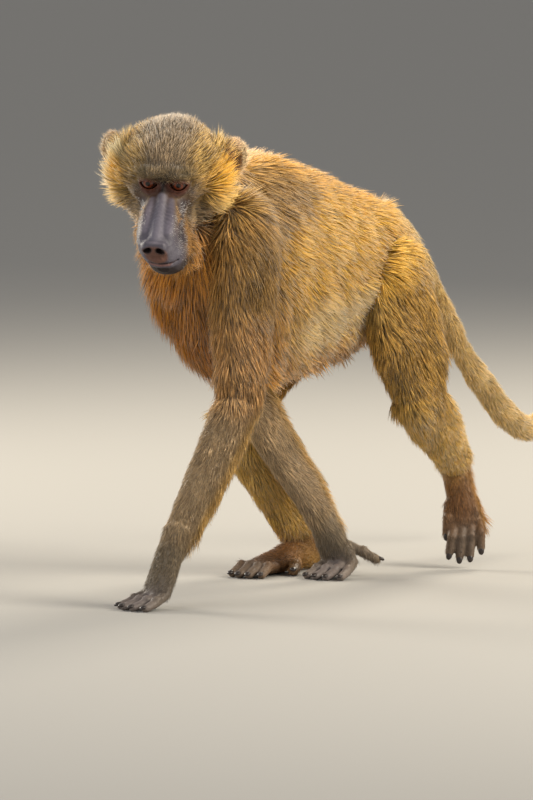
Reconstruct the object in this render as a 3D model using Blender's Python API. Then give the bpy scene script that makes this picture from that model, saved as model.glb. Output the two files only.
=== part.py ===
import math
import random

import bmesh
import bpy
import numpy as np
from mathutils import Matrix, Vector
from mathutils.bvhtree import BVHTree

# Young guinea baboon, walking. Metres, +Z up, faces -Y, its own left is +X.

# Sizes of the work
GAP = 0.0003
EAR_GAPS = 2.6
BODY_VOXEL = 0.0026
HEAD_STEP = 0.0010
EAR_STEP = 0.0009
HAND_VOXEL = 0.0012
BODY_FACES = 2400
HEAD_FACES = 3000
HAND_FACES = 420
FOOT_FACES = 500
EAR_FACES = 180
SEED = 13

# Joints, left side
L_SHOULDER = Vector((0.054, -0.138, 0.345))
L_ELBOW = Vector((0.062, -0.160, 0.198))
L_WRIST = Vector((0.044, -0.246, 0.062))
L_KNUCKLE = Vector((0.037, -0.264, 0.0160))
L_FINGERS = Vector((0.027, -0.294, 0.0065))
L_HIP = Vector((0.040, 0.135, 0.318))
L_KNEE = Vector((0.080, 0.126, 0.190))
L_ANKLE = Vector((0.051, 0.238, 0.104))
L_BALL = Vector((0.070, 0.232, 0.048))
L_TOES = Vector((0.076, 0.220, 0.014))

# Joints, right side
R_SHOULDER = Vector((-0.052, -0.108, 0.338))
R_ELBOW = Vector((-0.067, 0.012, 0.210))
R_WRIST = Vector((0.004, 0.071, 0.056))
R_KNUCKLE = Vector((0.014, 0.086, 0.0165))
R_FINGERS = Vector((0.018, 0.048, 0.0065))
R_HIP = Vector((-0.042, 0.122, 0.302))
R_KNEE = Vector((-0.084, 0.038, 0.157))
R_ANKLE = Vector((-0.059, 0.118, 0.034))
R_HEEL = Vector((-0.055, 0.134, 0.0125))
R_BALL = Vector((-0.059, 0.055, 0.0100))
R_TOES = Vector((-0.055, 0.017, 0.0065))
R_THUMB = (Vector((0.019, 0.088, 0.034)), Vector((0.033, 0.098, 0.026)), Vector((0.045, 0.1065, 0.0185)))

# Upper arm: share of the way from shoulder to elbow, half width, half depth
UPPER_ARM = ((0.35, 0.027, 0.038), (0.70, 0.024, 0.030))
# Forearm: share of the way from elbow to wrist, step back, half width, half depth
FOREARM = (
    (0.00, 0.003, 0.0205, 0.0240),
    (0.28, 0.003, 0.0205, 0.0250),
    (0.62, 0.004, 0.0190, 0.0225),
    (0.88, 0.004, 0.0170, 0.0185),
    (1.05, 0.002, 0.0160, 0.0150),
)
# Legs: place, half width, half depth
L_THIGH = (
    ((0.040, 0.135, 0.318), 0.026, 0.044),
    ((0.052, 0.134, 0.275), 0.030, 0.051),
    ((0.066, 0.132, 0.232), 0.029, 0.053),
    ((0.078, 0.128, 0.196), 0.026, 0.038),
)
L_SHANK = (
    ((0.080, 0.124, 0.186), 0.0235, 0.0300),
    ((0.076, 0.158, 0.160), 0.0235, 0.0290),
    ((0.067, 0.196, 0.134), 0.0205, 0.0245),
    ((0.058, 0.224, 0.115), 0.0168, 0.0185),
    ((0.051, 0.240, 0.102), 0.0150, 0.0155),
)
R_THIGH = (
    ((-0.042, 0.120, 0.308), 0.026, 0.046),
    ((-0.054, 0.103, 0.261), 0.029, 0.053),
    ((-0.068, 0.074, 0.212), 0.027, 0.042),
    ((-0.081, 0.048, 0.167), 0.0235, 0.028),
)
R_SHANK = (
    ((-0.084, 0.038, 0.157), 0.0225, 0.0235),
    ((-0.0765, 0.065, 0.118), 0.0225, 0.0265),
    ((-0.0685, 0.0876, 0.0807), 0.0195, 0.0220),
    ((-0.062, 0.1084, 0.0488), 0.0175, 0.0195),
    ((-0.058, 0.1212, 0.0291), 0.0150, 0.0155),
)

# Head: place of the braincase, its turn to the left, its tilt down and its lean
SKULL = Vector((0.0118, -0.2028, 0.4364))
HEAD_YAW = math.radians(26.5)
HEAD_PITCH = math.radians(27.5)
HEAD_ROLL = math.radians(3.5)
HEAD_LOW = (-0.080, -0.124, -0.084)
HEAD_HIGH = (0.080, 0.088, 0.054)
EYE_APART = 0.0147
EYE_OUT = 0.0372
EYE_UP = -0.0010
EYE_RADIUS = 0.0094
EAR = (0.0535, 0.0230, -0.0090)
EAR_RADII = (0.0140, 0.0075, 0.0205)
EAR_LEAN = math.radians(38.0)

# Muzzle and lower jaw in the head's frame: y, half width, half height, height of the middle
MUZZLE = (
    (-0.012, 0.0300, 0.0270, -0.0230),
    (-0.036, 0.0222, 0.0215, -0.0255),
    (-0.055, 0.0205, 0.0182, -0.0305),
    (-0.075, 0.0208, 0.0168, -0.0345),
    (-0.092, 0.0200, 0.0152, -0.0375),
    (-0.104, 0.0172, 0.0128, -0.0395),
    (-0.1115, 0.0122, 0.0090, -0.0400),
    (-0.1155, 0.0050, 0.0035, -0.0400),
)
JAW = (
    (0.010, 0.0280, 0.0190, -0.0440),
    (-0.030, 0.0225, 0.0155, -0.0500),
    (-0.062, 0.0215, 0.0122, -0.0545),
    (-0.088, 0.0182, 0.0102, -0.0570),
    (-0.101, 0.0135, 0.0085, -0.0570),
    (-0.1080, 0.0050, 0.0040, -0.0555),
)
# Line of the mouth, from the middle to the corner
MOUTH = (
    (0.0, -0.1150, -0.0478),
    (0.0085, -0.1120, -0.0481),
    (0.0146, -0.1020, -0.0490),
    (0.0192, -0.0870, -0.0492),
    (0.0222, -0.0710, -0.0470),
)

# Trunk rings: y, top z, bottom z, half width, sideways shift
TRUNK = (
    (-0.182, 0.388, 0.300, 0.034, 0.004),
    (-0.168, 0.404, 0.268, 0.044, 0.003),
    (-0.140, 0.422, 0.240, 0.052, 0.001),
    (-0.100, 0.433, 0.216, 0.059, 0.000),
    (-0.050, 0.437, 0.204, 0.062, 0.000),
    (0.000, 0.427, 0.208, 0.062, 0.000),
    (0.045, 0.414, 0.216, 0.060, 0.000),
    (0.090, 0.399, 0.226, 0.057, 0.000),
    (0.130, 0.386, 0.238, 0.055, 0.000),
    (0.160, 0.375, 0.258, 0.048, 0.000),
    (0.184, 0.364, 0.284, 0.035, 0.000),
    (0.198, 0.352, 0.302, 0.021, 0.000),
)

# Tail: centre, half thickness
TAIL = (
    (0.000, 0.170, 0.360, 0.0115),
    (0.000, 0.192, 0.361, 0.0115),
    (0.000, 0.212, 0.350, 0.0106),
    (0.000, 0.234, 0.331, 0.0102),
    (0.000, 0.256, 0.307, 0.0102),
    (0.000, 0.276, 0.281, 0.0106),
    (0.000, 0.298, 0.250, 0.0116),
    (0.000, 0.321, 0.218, 0.0128),
    (0.000, 0.348, 0.191, 0.0138),
    (0.000, 0.386, 0.158, 0.0146),
    (0.000, 0.418, 0.135, 0.0148),
    (-0.001, 0.450, 0.124, 0.0135),
    (-0.002, 0.478, 0.134, 0.0100),
    (-0.002, 0.492, 0.150, 0.0050),
)

# Zones that part the limbs off: share of the way down the bone, half width, half depth
ARM_ZONE = (
    (1.0, 0.024, 0.030),
    (0.7, 0.026, 0.035),
    (0.35, 0.029, 0.042),
    (0.0, 0.029, 0.048),
    (-0.20, 0.026, 0.040),
)
THIGH_ZONE = (
    (1.0, 0.029, 0.046),
    (0.62, 0.034, 0.060),
    (0.28, 0.035, 0.066),
    (-0.04, 0.030, 0.062),
)
TAIL_END_ZONE = (
    ((0.000, 0.372, 0.1690), 0.060, 0.060),
    ((0.000, 0.560, 0.0800), 0.100, 0.100),
)
TAIL_ZONE = (
    ((0.000, 0.219, 0.3450), 0.024, 0.024),
    ((0.000, 0.264, 0.2960), 0.034, 0.034),
    ((0.000, 0.335, 0.2050), 0.050, 0.050),
    ((0.000, 0.440, 0.1200), 0.060, 0.060),
)

# Locks of the coat: length, width and lift off the skin, by named size
LOCK_SIZES = {
    "ruff": (0.026, 0.0130, 0.30),
    "nape": (0.028, 0.0130, 0.16),
    "cape": (0.034, 0.0150, 0.20),
    "chest": (0.031, 0.0140, 0.20),
    "belly": (0.030, 0.0130, 0.30),
    "fringe": (0.024, 0.0110, 0.32),
    "tail": (0.026, 0.0110, 0.22),
}
LOCK_THICK = 0.0042
LOCK_ROOT = 0.0050

# Rows of locks on the body: size, start, end, step to the next row, rows, locks a row, lie.
# A row marked True has a twin on the other side of the trunk.
BODY_ROWS = (
    ("cape", (0.006, -0.078, 0.450), (0.006, 0.150, 0.395), (0.0, 0.0, 0.0), 1, 9, (0.12, 0.95, -0.25), True),
    ("chest", (0.012, -0.210, 0.335), (0.008, -0.150, 0.215), (0.020, 0.012, 0.0), 2, 5, (0.10, 0.30, -0.95), True),
    ("belly", (0.008, -0.085, 0.190), (0.010, 0.125, 0.215), (0.0, 0.0, 0.0), 1, 8, (0.05, 0.72, -0.68), True),
)
LIMB_ROWS = (
    ("fringe", (0.060, -0.078, 0.310), (0.062, -0.110, 0.220), (0.0, 0.0, 0.0), 1, 5, (0.0, 0.62, -0.78)),
    ("fringe", (0.058, -0.120, 0.196), (0.047, -0.190, 0.090), (0.012, 0.0, 0.0), 2, 6, (0.0, 0.42, -0.90)),
    ("fringe", (-0.062, -0.040, 0.300), (-0.068, 0.006, 0.245), (0.0, 0.0, 0.0), 1, 3, (0.0, 0.70, -0.70)),
    ("fringe", (-0.056, 0.060, 0.175), (-0.002, 0.100, 0.090), (0.012, 0.0, 0.0), 2, 5, (0.25, 0.55, -0.80)),
    ("fringe", (0.056, 0.225, 0.300), (0.074, 0.165, 0.205), (0.0, 0.0, 0.0), 1, 5, (0.1, 0.55, -0.82)),
    ("fringe", (0.082, 0.140, 0.194), (0.066, 0.215, 0.148), (0.012, 0.0, 0.0), 2, 4, (-0.1, 0.90, -0.42)),
    ("fringe", (-0.056, 0.195, 0.290), (-0.080, 0.110, 0.185), (0.0, 0.0, 0.0), 1, 5, (-0.1, 0.55, -0.82)),
    ("fringe", (-0.080, 0.098, 0.136), (-0.070, 0.128, 0.090), (0.012, 0.0, 0.0), 2, 3, (0.1, 0.50, -0.86)),
    ("tail", (0.004, 0.405, 0.170), (0.004, 0.465, 0.165), (-0.010, 0.0, 0.0), 2, 4, (0.0, 0.95, 0.10)),
    ("tail", (0.004, 0.400, 0.115), (0.004, 0.475, 0.105), (-0.010, 0.0, 0.0), 2, 4, (0.0, 0.95, 0.15)),
)
# Rows on the head, in its own frame, both sides
HEAD_ROWS = (
    ("ruff", (0.058, 0.000, -0.020), (0.048, 0.004, -0.050), (0.0, 0.018, 0.0), 2, 4, (0.42, 0.80, -0.35), True),
    ("ruff", (0.036, 0.010, -0.060), (0.014, 0.012, -0.068), (0.0, 0.0, 0.0), 1, 3, (0.25, 0.70, -0.55), True),
    ("nape", (0.026, 0.060, 0.010), (0.006, 0.064, 0.012), (0.0, 0.0, 0.0), 1, 3, (0.15, 0.95, -0.30), True),
)

# Colours: name, colour, roughness
PAINTS = {
    "head": ((0.27, 0.20, 0.11), 0.80),
    "neck": ((0.50, 0.31, 0.12), 0.85),
    "torso": ((0.58, 0.37, 0.14), 0.85),
    "tail": ((0.60, 0.42, 0.22), 0.85),
    "arm": ((0.33, 0.26, 0.15), 0.85),
    "leg": ((0.48, 0.33, 0.15), 0.85),
    "hand": ((0.20, 0.18, 0.17), 0.70),
    "foot": ((0.22, 0.17, 0.12), 0.70),
    "ear": ((0.62, 0.52, 0.38), 0.80),
    "eye": ((0.42, 0.14, 0.03), 0.20),
}


def paint(key):
    """One plain material of the given kind."""
    colour, rough = PAINTS[key]
    mat = bpy.data.materials.new(key + "_coat")
    mat.use_nodes = True
    shader = mat.node_tree.nodes["Principled BSDF"]
    shader.inputs["Base Color"].default_value = (*colour, 1.0)
    shader.inputs["Roughness"].default_value = rough
    return mat


def show(bm, name):
    """A bmesh as an object of the scene."""
    mesh = bpy.data.meshes.new(name)
    bm.to_mesh(mesh)
    bm.free()
    thing = bpy.data.objects.new(name, mesh)
    bpy.context.scene.collection.objects.link(thing)
    return thing


def smooth_path(rows, steps):
    """Rows of numbers, with points of a rounded curve put between them."""
    rows = np.array(rows, float)
    padded = np.vstack([2 * rows[0] - rows[1], rows, 2 * rows[-1] - rows[-2]])
    out = []
    for i in range(1, len(padded) - 2):
        a, b, c, d = padded[i - 1 : i + 3]
        for k in range(steps):
            t = k / steps
            flat = 2 * b + (c - a) * t + (2 * a - 5 * b + 4 * c - d) * t * t
            out.append(0.5 * (flat + (3 * b - a - 3 * c + d) * t**3))
    out.append(rows[-1])
    return np.array(out)


def add_rings(bm, rings):
    """A closed skin through rings of equal count, ends filled."""
    rows = [[bm.verts.new(p) for p in ring] for ring in rings]
    count = len(rows[0])
    for low, high in zip(rows, rows[1:]):
        for i in range(count):
            j = (i + 1) % count
            bm.faces.new((low[i], low[j], high[j], high[i]))
    bm.faces.new(rows[0][::-1])
    bm.faces.new(rows[-1])


def limb(bm, stations, across=(1, 0, 0), sides=20, steps=4):
    """A tube through (centre, half width, half depth) with rounded ends."""
    rows = [(*centre, wide, deep) for centre, wide, deep in stations]
    path = smooth_path(rows, steps)
    start = Vector(path[0][:3]) - Vector(path[1][:3])
    end = Vector(path[-1][:3]) - Vector(path[-2][:3])
    rings = []
    last = len(path) - 1
    for k, row in enumerate(path):
        centre = Vector(row[:3])
        ahead = Vector(path[min(k + 1, last)][:3])
        behind = Vector(path[max(k - 1, 0)][:3])
        along = (ahead - behind).normalized()
        side = Vector(across)
        side = (side - along * side.dot(along)).normalized()
        deep = along.cross(side)
        scales = [(0.0, 1.0)]
        if k == 0:
            scales = [(0.92, 0.4), (0.66, 0.75), (0.3, 0.95), (0.0, 1.0)]
        if k == last:
            scales = [(0.0, 1.0), (0.3, 0.95), (0.66, 0.75), (0.92, 0.4)]
        way = start.normalized() if k == 0 else end.normalized()
        for out, shrink in scales:
            middle = centre + way * out * min(row[3], row[4])
            ring = []
            for i in range(sides):
                turn = 2 * math.pi * i / sides
                wide = side * math.cos(turn) * row[3] * shrink
                ring.append(middle + wide + deep * math.sin(turn) * row[4] * shrink)
            rings.append(ring)
    add_rings(bm, rings)


def ball(bm, centre, radii, turn=None, detail=3):
    """An ellipsoid."""
    made = bmesh.ops.create_icosphere(bm, subdivisions=detail, radius=1.0)
    size = Matrix.Diagonal((*radii, 1.0))
    spin = turn.to_4x4() if turn else Matrix.Identity(4)
    bmesh.ops.transform(bm, matrix=Matrix.Translation(centre) @ spin @ size, verts=made["verts"])


def settle(thing):
    """Applies every modifier of an object."""
    graph = bpy.context.evaluated_depsgraph_get()
    mesh = bpy.data.meshes.new_from_object(thing.evaluated_get(graph))
    thing.modifiers.clear()
    thing.data = mesh
    return thing


def fuse(bm, name, voxel, faces, smooth=6):
    """The shapes of a bmesh grown into one smooth skin of few faces."""
    bmesh.ops.recalc_face_normals(bm, faces=bm.faces)
    thing = show(bm, name)
    step = thing.modifiers.new("Fuse", "REMESH")
    step.mode = "VOXEL"
    step.voxel_size = voxel
    step.adaptivity = 0.0
    soft = thing.modifiers.new("Soften", "SMOOTH")
    soft.factor = 0.5
    soft.iterations = smooth
    settle(thing)
    corners = len(thing.data.polygons) * 2
    thin = thing.modifiers.new("Thin", "DECIMATE")
    thin.ratio = min(1.0, faces / corners)
    return settle(thing)


def pieces_of(thing):
    """The separate closed surfaces of an object, largest first, as bmeshes."""
    bm = bmesh.new()
    bm.from_mesh(thing.data)
    bm.verts.index_update()
    seen = set()
    found = []
    for vert in bm.verts:
        if vert.index in seen:
            continue
        stack = [vert]
        seen.add(vert.index)
        island = []
        while stack:
            here = stack.pop()
            island.append(here)
            for edge in here.link_edges:
                other = edge.other_vert(here)
                if other.index not in seen:
                    seen.add(other.index)
                    stack.append(other)
        found.append(island)
    out = []
    for island in found:
        piece = bmesh.new()
        copies = {v: piece.verts.new(v.co) for v in island}
        done = set()
        for v in island:
            for face in v.link_faces:
                if face.index in done:
                    continue
                done.add(face.index)
                piece.faces.new([copies[w] for w in face.verts])
        out.append(piece)
    bm.free()
    return sorted(out, key=lambda piece: -abs(piece.calc_volume()))


def keep_largest(thing):
    """Leaves an object only its largest closed surface."""
    found = pieces_of(thing)
    bmesh.ops.triangulate(found[0], faces=found[0].faces)
    found[0].to_mesh(thing.data)
    for piece in found:
        piece.free()
    return thing


def join_to(thing, cutter, way):
    """One Boolean of an object with another, which then goes."""
    step = thing.modifiers.new("Shape", "BOOLEAN")
    step.operation = way
    step.solver = "MANIFOLD"
    step.object = cutter
    settle(thing)
    bpy.data.objects.remove(cutter)
    return thing


def slab(bm, centre, normal, wide, tall, thick):
    """A flat box square to the normal, centred in its thickness."""
    normal = Vector(normal).normalized()
    up = Vector((0, 1, 0)) if abs(normal.z) > 0.9 else Vector((0, 0, 1))
    side = up.cross(normal).normalized()
    top = normal.cross(side)
    turn = Matrix((side, top, normal)).transposed().to_4x4()
    size = Matrix.Diagonal((wide, tall, thick, 1.0))
    bmesh.ops.create_cube(bm, size=1.0, matrix=Matrix.Translation(centre) @ turn @ size)


def block(centre, normal, wide, tall, deep):
    """A box whose first face passes the centre and that reaches along the normal."""
    bm = bmesh.new()
    middle = Vector(centre) + Vector(normal).normalized() * deep / 2
    slab(bm, middle, normal, wide, tall, deep)
    return show(bm, "block")


def toward(a, b, t):
    return a.lerp(b, t)


def body_form():
    """Trunk, neck, tail, arms and legs as one skin."""
    bm = bmesh.new()
    rings = []
    for y, top, low, wide, shift in smooth_path(TRUNK, 3):
        ring = []
        for i in range(28):
            turn = 2 * math.pi * i / 28
            c = math.cos(turn)
            s = math.sin(turn)
            across = math.copysign(abs(c) ** 0.88, c)
            ring.append(Vector((shift + wide * across, y, (top + low) / 2 + (top - low) / 2 * s)))
        rings.append(ring)
    add_rings(bm, rings)
    for end in (0, -1):
        y, top, low, wide, shift = TRUNK[end]
        ball(bm, (shift, y, (top + low) / 2), (wide * 0.98, 0.012, (top - low) * 0.49))
    neck_end = head_point((0.0, 0.016, -0.010))
    limb(bm, [
        (Vector((0.0, -0.088, 0.366)), 0.046, 0.062),
        (Vector((0.006, -0.130, 0.385)), 0.044, 0.056),
        (neck_end, 0.042, 0.048),
    ])
    limb(bm, [(Vector(row[:3]), row[3], row[3]) for row in TAIL])
    ball(bm, (0.0, 0.184, 0.344), (0.022, 0.024, 0.020))
    arm(bm, L_SHOULDER, L_ELBOW, L_WRIST)
    arm(bm, R_SHOULDER, R_ELBOW, R_WRIST)
    for rows in (L_THIGH, L_SHANK, R_THIGH, R_SHANK):
        limb(bm, rows)
    return fuse(bm, "body", BODY_VOXEL, BODY_FACES, 8)


def arm(bm, shoulder, elbow, wrist):
    """Shoulder cap, upper arm and forearm."""
    out = 1 if shoulder.x > 0 else -1
    rows = [
        (shoulder + Vector((-0.006 * out, 0.004, 0.036)), 0.020, 0.034),
        (shoulder, 0.026, 0.043),
    ]
    rows += [(toward(shoulder, elbow, t), wide, deep) for t, wide, deep in UPPER_ARM]
    rows.append((elbow + Vector((0, 0.004, 0.004)), 0.021, 0.0245))
    limb(bm, rows)
    limb(bm, [
        (toward(elbow, wrist, t) + Vector((0, back, 0)), wide, deep) for t, back, wide, deep in FOREARM
    ])


def head_turn():
    yaw = Matrix.Rotation(HEAD_YAW, 3, "Z")
    return yaw @ Matrix.Rotation(HEAD_PITCH, 3, "X") @ Matrix.Rotation(HEAD_ROLL, 3, "Y")


def head_point(place):
    """A point of the head's own frame (left, back, up) in the model."""
    return SKULL + head_turn() @ Vector(place)


def blend(a, b, soft):
    """The union of two fields, rounded where they meet."""
    h = np.clip(0.5 + 0.5 * (b - a) / soft, 0, 1)
    return b + (a - b) * h - soft * h * (1 - h)


def carve(a, b, soft):
    """The first field without the second, rounded where they meet."""
    return -blend(-a, b, soft)


def oval(p, centre, radii, turn=None):
    """An ellipsoid's field, nearly a distance."""
    q = [p[k] - centre[k] for k in range(3)]
    if turn is not None:
        q = [sum(q[j] * turn[j][k] for j in range(3)) for k in range(3)]
    near = np.sqrt(sum((q[k] / radii[k]) ** 2 for k in range(3)))
    steep = np.sqrt(sum((q[k] / radii[k] ** 2) ** 2 for k in range(3))) + 1e-6
    return near * (near - 1) / steep


def cord(p, path, radii):
    """A round bar through points, with a radius for each."""
    best = None
    for k in range(len(path) - 1):
        a = np.array(path[k])
        line = np.array(path[k + 1]) - a
        q = [p[j] - a[j] for j in range(3)]
        t = np.clip(sum(q[j] * line[j] for j in range(3)) / (line @ line), 0, 1)
        away = np.sqrt(sum((q[j] - t * line[j]) ** 2 for j in range(3)))
        away = away - (radii[k] + (radii[k + 1] - radii[k]) * t)
        best = away if best is None else np.minimum(best, away)
    return best


def loft(p, rows, power):
    """A bar along y whose cut is a squarish oval."""
    rows = smooth_path(rows, 6)[::-1]
    y = np.clip(p[1], rows[0, 0], rows[-1, 0])
    wide, tall, middle = (np.interp(y, rows[:, 0], rows[:, k]) for k in (1, 2, 3))
    cut = (np.abs(p[0]) / wide) ** power + (np.abs(p[2] - middle) / tall) ** power
    flat = (cut ** (1 / power) - 1) * np.minimum(wide, tall)
    past = np.abs(p[1] - y)
    return np.where(past > 0, np.maximum(flat, past), flat)


def skull_field(p):
    """Braincase, ruff, brow, muzzle and jaw, out to the tips of the short coat."""
    skull = oval(p, (0, 0.010, 0.002), (0.0480, 0.0540, 0.0370))
    skull = blend(skull, oval(p, (0, -0.008, 0.005), (0.0410, 0.0345, 0.0265)), 0.012)
    skull = blend(skull, oval(p, (0, 0.036, -0.022), (0.0440, 0.0380, 0.0400)), 0.015)
    skull = blend(skull, oval(p, (0.037, 0.006, -0.022), (0.0270, 0.0285, 0.0340)), 0.014)
    skull = blend(skull, oval(p, (0.021, 0.000, -0.048), (0.0220, 0.0270, 0.0210)), 0.012)
    skull = blend(skull, loft(p, MUZZLE, 2.7), 0.010)
    skull = blend(skull, loft(p, JAW, 2.6), 0.004)
    brow = ((0, -0.0410, 0.0090), (0.014, -0.0440, 0.0104), (0.027, -0.0350, 0.0060))
    skull = blend(skull, cord(p, brow, (0.0046, 0.0056, 0.0040)), 0.006)
    cheek = ((0.0120, -0.0440, -0.0185), (0.0240, -0.0380, -0.0160), (0.0330, -0.0220, -0.0110))
    skull = blend(skull, cord(p, cheek, (0.0050, 0.0070, 0.0080)), 0.008)
    bridge = ((0, -0.0400, -0.0035), (0, -0.0680, -0.0165), (0, -0.1040, -0.0262))
    skull = blend(skull, cord(p, bridge, (0.0044, 0.0044, 0.0056)), 0.006)
    ridge = ((0.0085, -0.0500, -0.0135), (0.0128, -0.0700, -0.0190), (0.0112, -0.0960, -0.0280))
    return blend(skull, cord(p, ridge, (0.0036, 0.0052, 0.0038)), 0.005)


def head_field(p):
    """The head with nose pad, lips, mouth line, nostrils and lids."""
    p = [np.abs(p[0]), p[1], p[2]]
    skull = skull_field(p)
    skull = blend(skull, oval(p, (0, -0.1090, -0.0325), (0.0108, 0.0088, 0.0080)), 0.004)
    skull = blend(skull, oval(p, (0.0070, -0.1120, -0.0335), (0.0052, 0.0052, 0.0060)), 0.003)
    skull = blend(skull, oval(p, (0, -0.0970, -0.0592), (0.0118, 0.0110, 0.0088)), 0.006)
    over = [(x * 0.99, y + 0.0004, z + 0.0034) for x, y, z in MOUTH]
    under = [(x * 0.95, y + 0.0026, z - 0.0036) for x, y, z in MOUTH]
    skull = blend(skull, cord(p, over, (0.0030, 0.0030, 0.0028, 0.0024, 0.0014)), 0.004)
    skull = blend(skull, cord(p, under, (0.0030, 0.0030, 0.0028, 0.0024, 0.0014)), 0.004)
    skull = carve(skull, cord(p, MOUTH, (0.0020, 0.0020, 0.0020, 0.0018, 0.0012)), 0.0010)
    hollow = (EYE_APART, -EYE_OUT - 0.0125, EYE_UP - 0.0010)
    skull = carve(skull, oval(p, hollow, (0.0118, 0.0075, 0.0072)), 0.004)
    lids = oval(p, (EYE_APART, -EYE_OUT, EYE_UP), (EYE_RADIUS + 0.0019,) * 3)
    skull = blend(skull, lids, 0.0024)
    u = p[0] - EYE_APART
    v = p[2] - EYE_UP + 0.0004 - 0.06 * u
    upper = np.sqrt(u * u + (v + 0.0058) ** 2) - 0.0109
    lower = np.sqrt(u * u + (v - 0.0060) ** 2) - 0.0110
    opening = np.maximum(np.maximum(upper, lower), p[1] + EYE_OUT + 0.0010)
    skull = carve(skull, opening, 0.0008)
    return carve(skull, oval(p, (0.0058, -0.1165, -0.0335), (0.0036, 0.0060, 0.0034)), 0.0012)


def surface_net(field, low, step):
    """The zero surface of a field on a grid, as points and quads."""
    inside = field < 0
    offsets = np.array([(i, j, k) for i in (0, 1) for j in (0, 1) for k in (0, 1)])
    count = np.zeros(tuple(n - 1 for n in field.shape), np.int8)
    for i, j, k in offsets:
        count += inside[i : i + count.shape[0], j : j + count.shape[1], k : k + count.shape[2]]
    cells = np.argwhere((count > 0) & (count < 8))
    near = cells[:, None] + offsets[None]
    value = field[near[..., 0], near[..., 1], near[..., 2]]
    total = np.zeros((len(cells), 3))
    hits = np.zeros(len(cells))
    for a in range(8):
        for b in range(a + 1, 8):
            if np.abs(offsets[a] - offsets[b]).sum() != 1:
                continue
            crossed = (value[:, a] < 0) != (value[:, b] < 0)
            t = value[:, a] / np.where(crossed, value[:, a] - value[:, b], 1)
            spot = offsets[a] + (offsets[b] - offsets[a]) * t[:, None]
            total += np.where(crossed[:, None], spot, 0)
            hits += crossed
    points = np.array(low) + step * (cells + total / hits[:, None])
    number = np.full(count.shape, -1)
    number[tuple(cells.T)] = np.arange(len(cells))
    quads = []
    for axis in range(3):
        first = np.take(inside, range(field.shape[axis] - 1), axis)
        second = np.take(inside, range(1, field.shape[axis]), axis)
        edges = np.argwhere(first != second)
        one, two = np.eye(3, dtype=int)[[(axis + 1) % 3, (axis + 2) % 3]]
        moves = (0 * one, one, one + two, two)
        ring = np.stack([number[tuple((edges - move).T)] for move in moves], axis=1)
        leaving = first[tuple(edges.T)]
        ring[~leaving] = ring[~leaving][:, ::-1]
        quads.append(ring)
    return points, np.concatenate(quads)


def solid_of(shape, name, low, high, step, faces):
    """A field's surface between two corners, thinned to so many faces."""
    axes = [np.arange(a, b, step, dtype=np.float32) for a, b in zip(low, high)]
    grid = np.meshgrid(*axes, indexing="ij", sparse=True)
    points, quads = surface_net(shape(grid), low, step)
    mesh = bpy.data.meshes.new(name)
    mesh.from_pydata(points.tolist(), [], quads.tolist())
    bm = bmesh.new()
    bm.from_mesh(mesh)
    bmesh.ops.recalc_face_normals(bm, faces=bm.faces)
    thing = show(bm, name)
    even = thing.modifiers.new("Even", "REMESH")
    even.mode = "VOXEL"
    even.voxel_size = step
    settle(thing)
    thin = thing.modifiers.new("Thin", "DECIMATE")
    thin.ratio = min(1.0, faces / (2 * len(thing.data.polygons)))
    return settle(thing)


def dig(thing, bm):
    """Takes the shapes of a bmesh out of an object."""
    bmesh.ops.recalc_face_normals(bm, faces=bm.faces)
    cutter = show(bm, "cutter")
    return join_to(thing, cutter, "DIFFERENCE")


def head_form():
    """The head with a room for each eye."""
    head = keep_largest(solid_of(head_field, "head", HEAD_LOW, HEAD_HIGH, HEAD_STEP, HEAD_FACES))
    for side in (1, -1):
        bm = bmesh.new()
        reach = EYE_RADIUS + 1.5 * GAP
        ball(bm, (EYE_APART * side, -EYE_OUT, EYE_UP), (reach, reach, reach), None, 3)
        dig(head, bm)
    return keep_largest(head)


def eye_form(side):
    bm = bmesh.new()
    place = Vector((EYE_APART * side, -EYE_OUT, EYE_UP))
    ball(bm, place, (EYE_RADIUS, EYE_RADIUS, EYE_RADIUS), None, 2)
    return show(bm, "eye")


def ear_form(side):
    """A cupped ear that leans back."""
    turn = Matrix.Rotation(EAR_LEAN, 3, "Z") @ Matrix.Rotation(math.radians(-8), 3, "X")
    hollow = (EAR[0] + 0.0048, EAR[1] - 0.0070, EAR[2] + 0.0015)

    def field(p):
        p = [p[0] * side, p[1], p[2]]
        whole = oval(p, EAR, EAR_RADII, np.array(turn))
        return carve(whole, oval(p, hollow, (0.0098, 0.0082, 0.0155), np.array(turn)), 0.0015)

    x = EAR[0] * side
    low = (x - 0.022, EAR[1] - 0.022, EAR[2] - 0.026)
    high = (x + 0.022, EAR[1] + 0.022, EAR[2] + 0.026)
    return solid_of(field, "ear", low, high, EAR_STEP, EAR_FACES)


def digit(bm, points, radius):
    """A finger or toe through points, with a round pad at its end."""
    rows = []
    for k, point in enumerate(points):
        shape = radius * (1.0 if k < len(points) - 1 else 0.86)
        rows.append((point, shape, shape * 0.92))
    limb(bm, rows, (1, 0, 0) if abs((points[-1] - points[0]).x) < 0.02 else (0, 0, 1), 12, 3)


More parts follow.
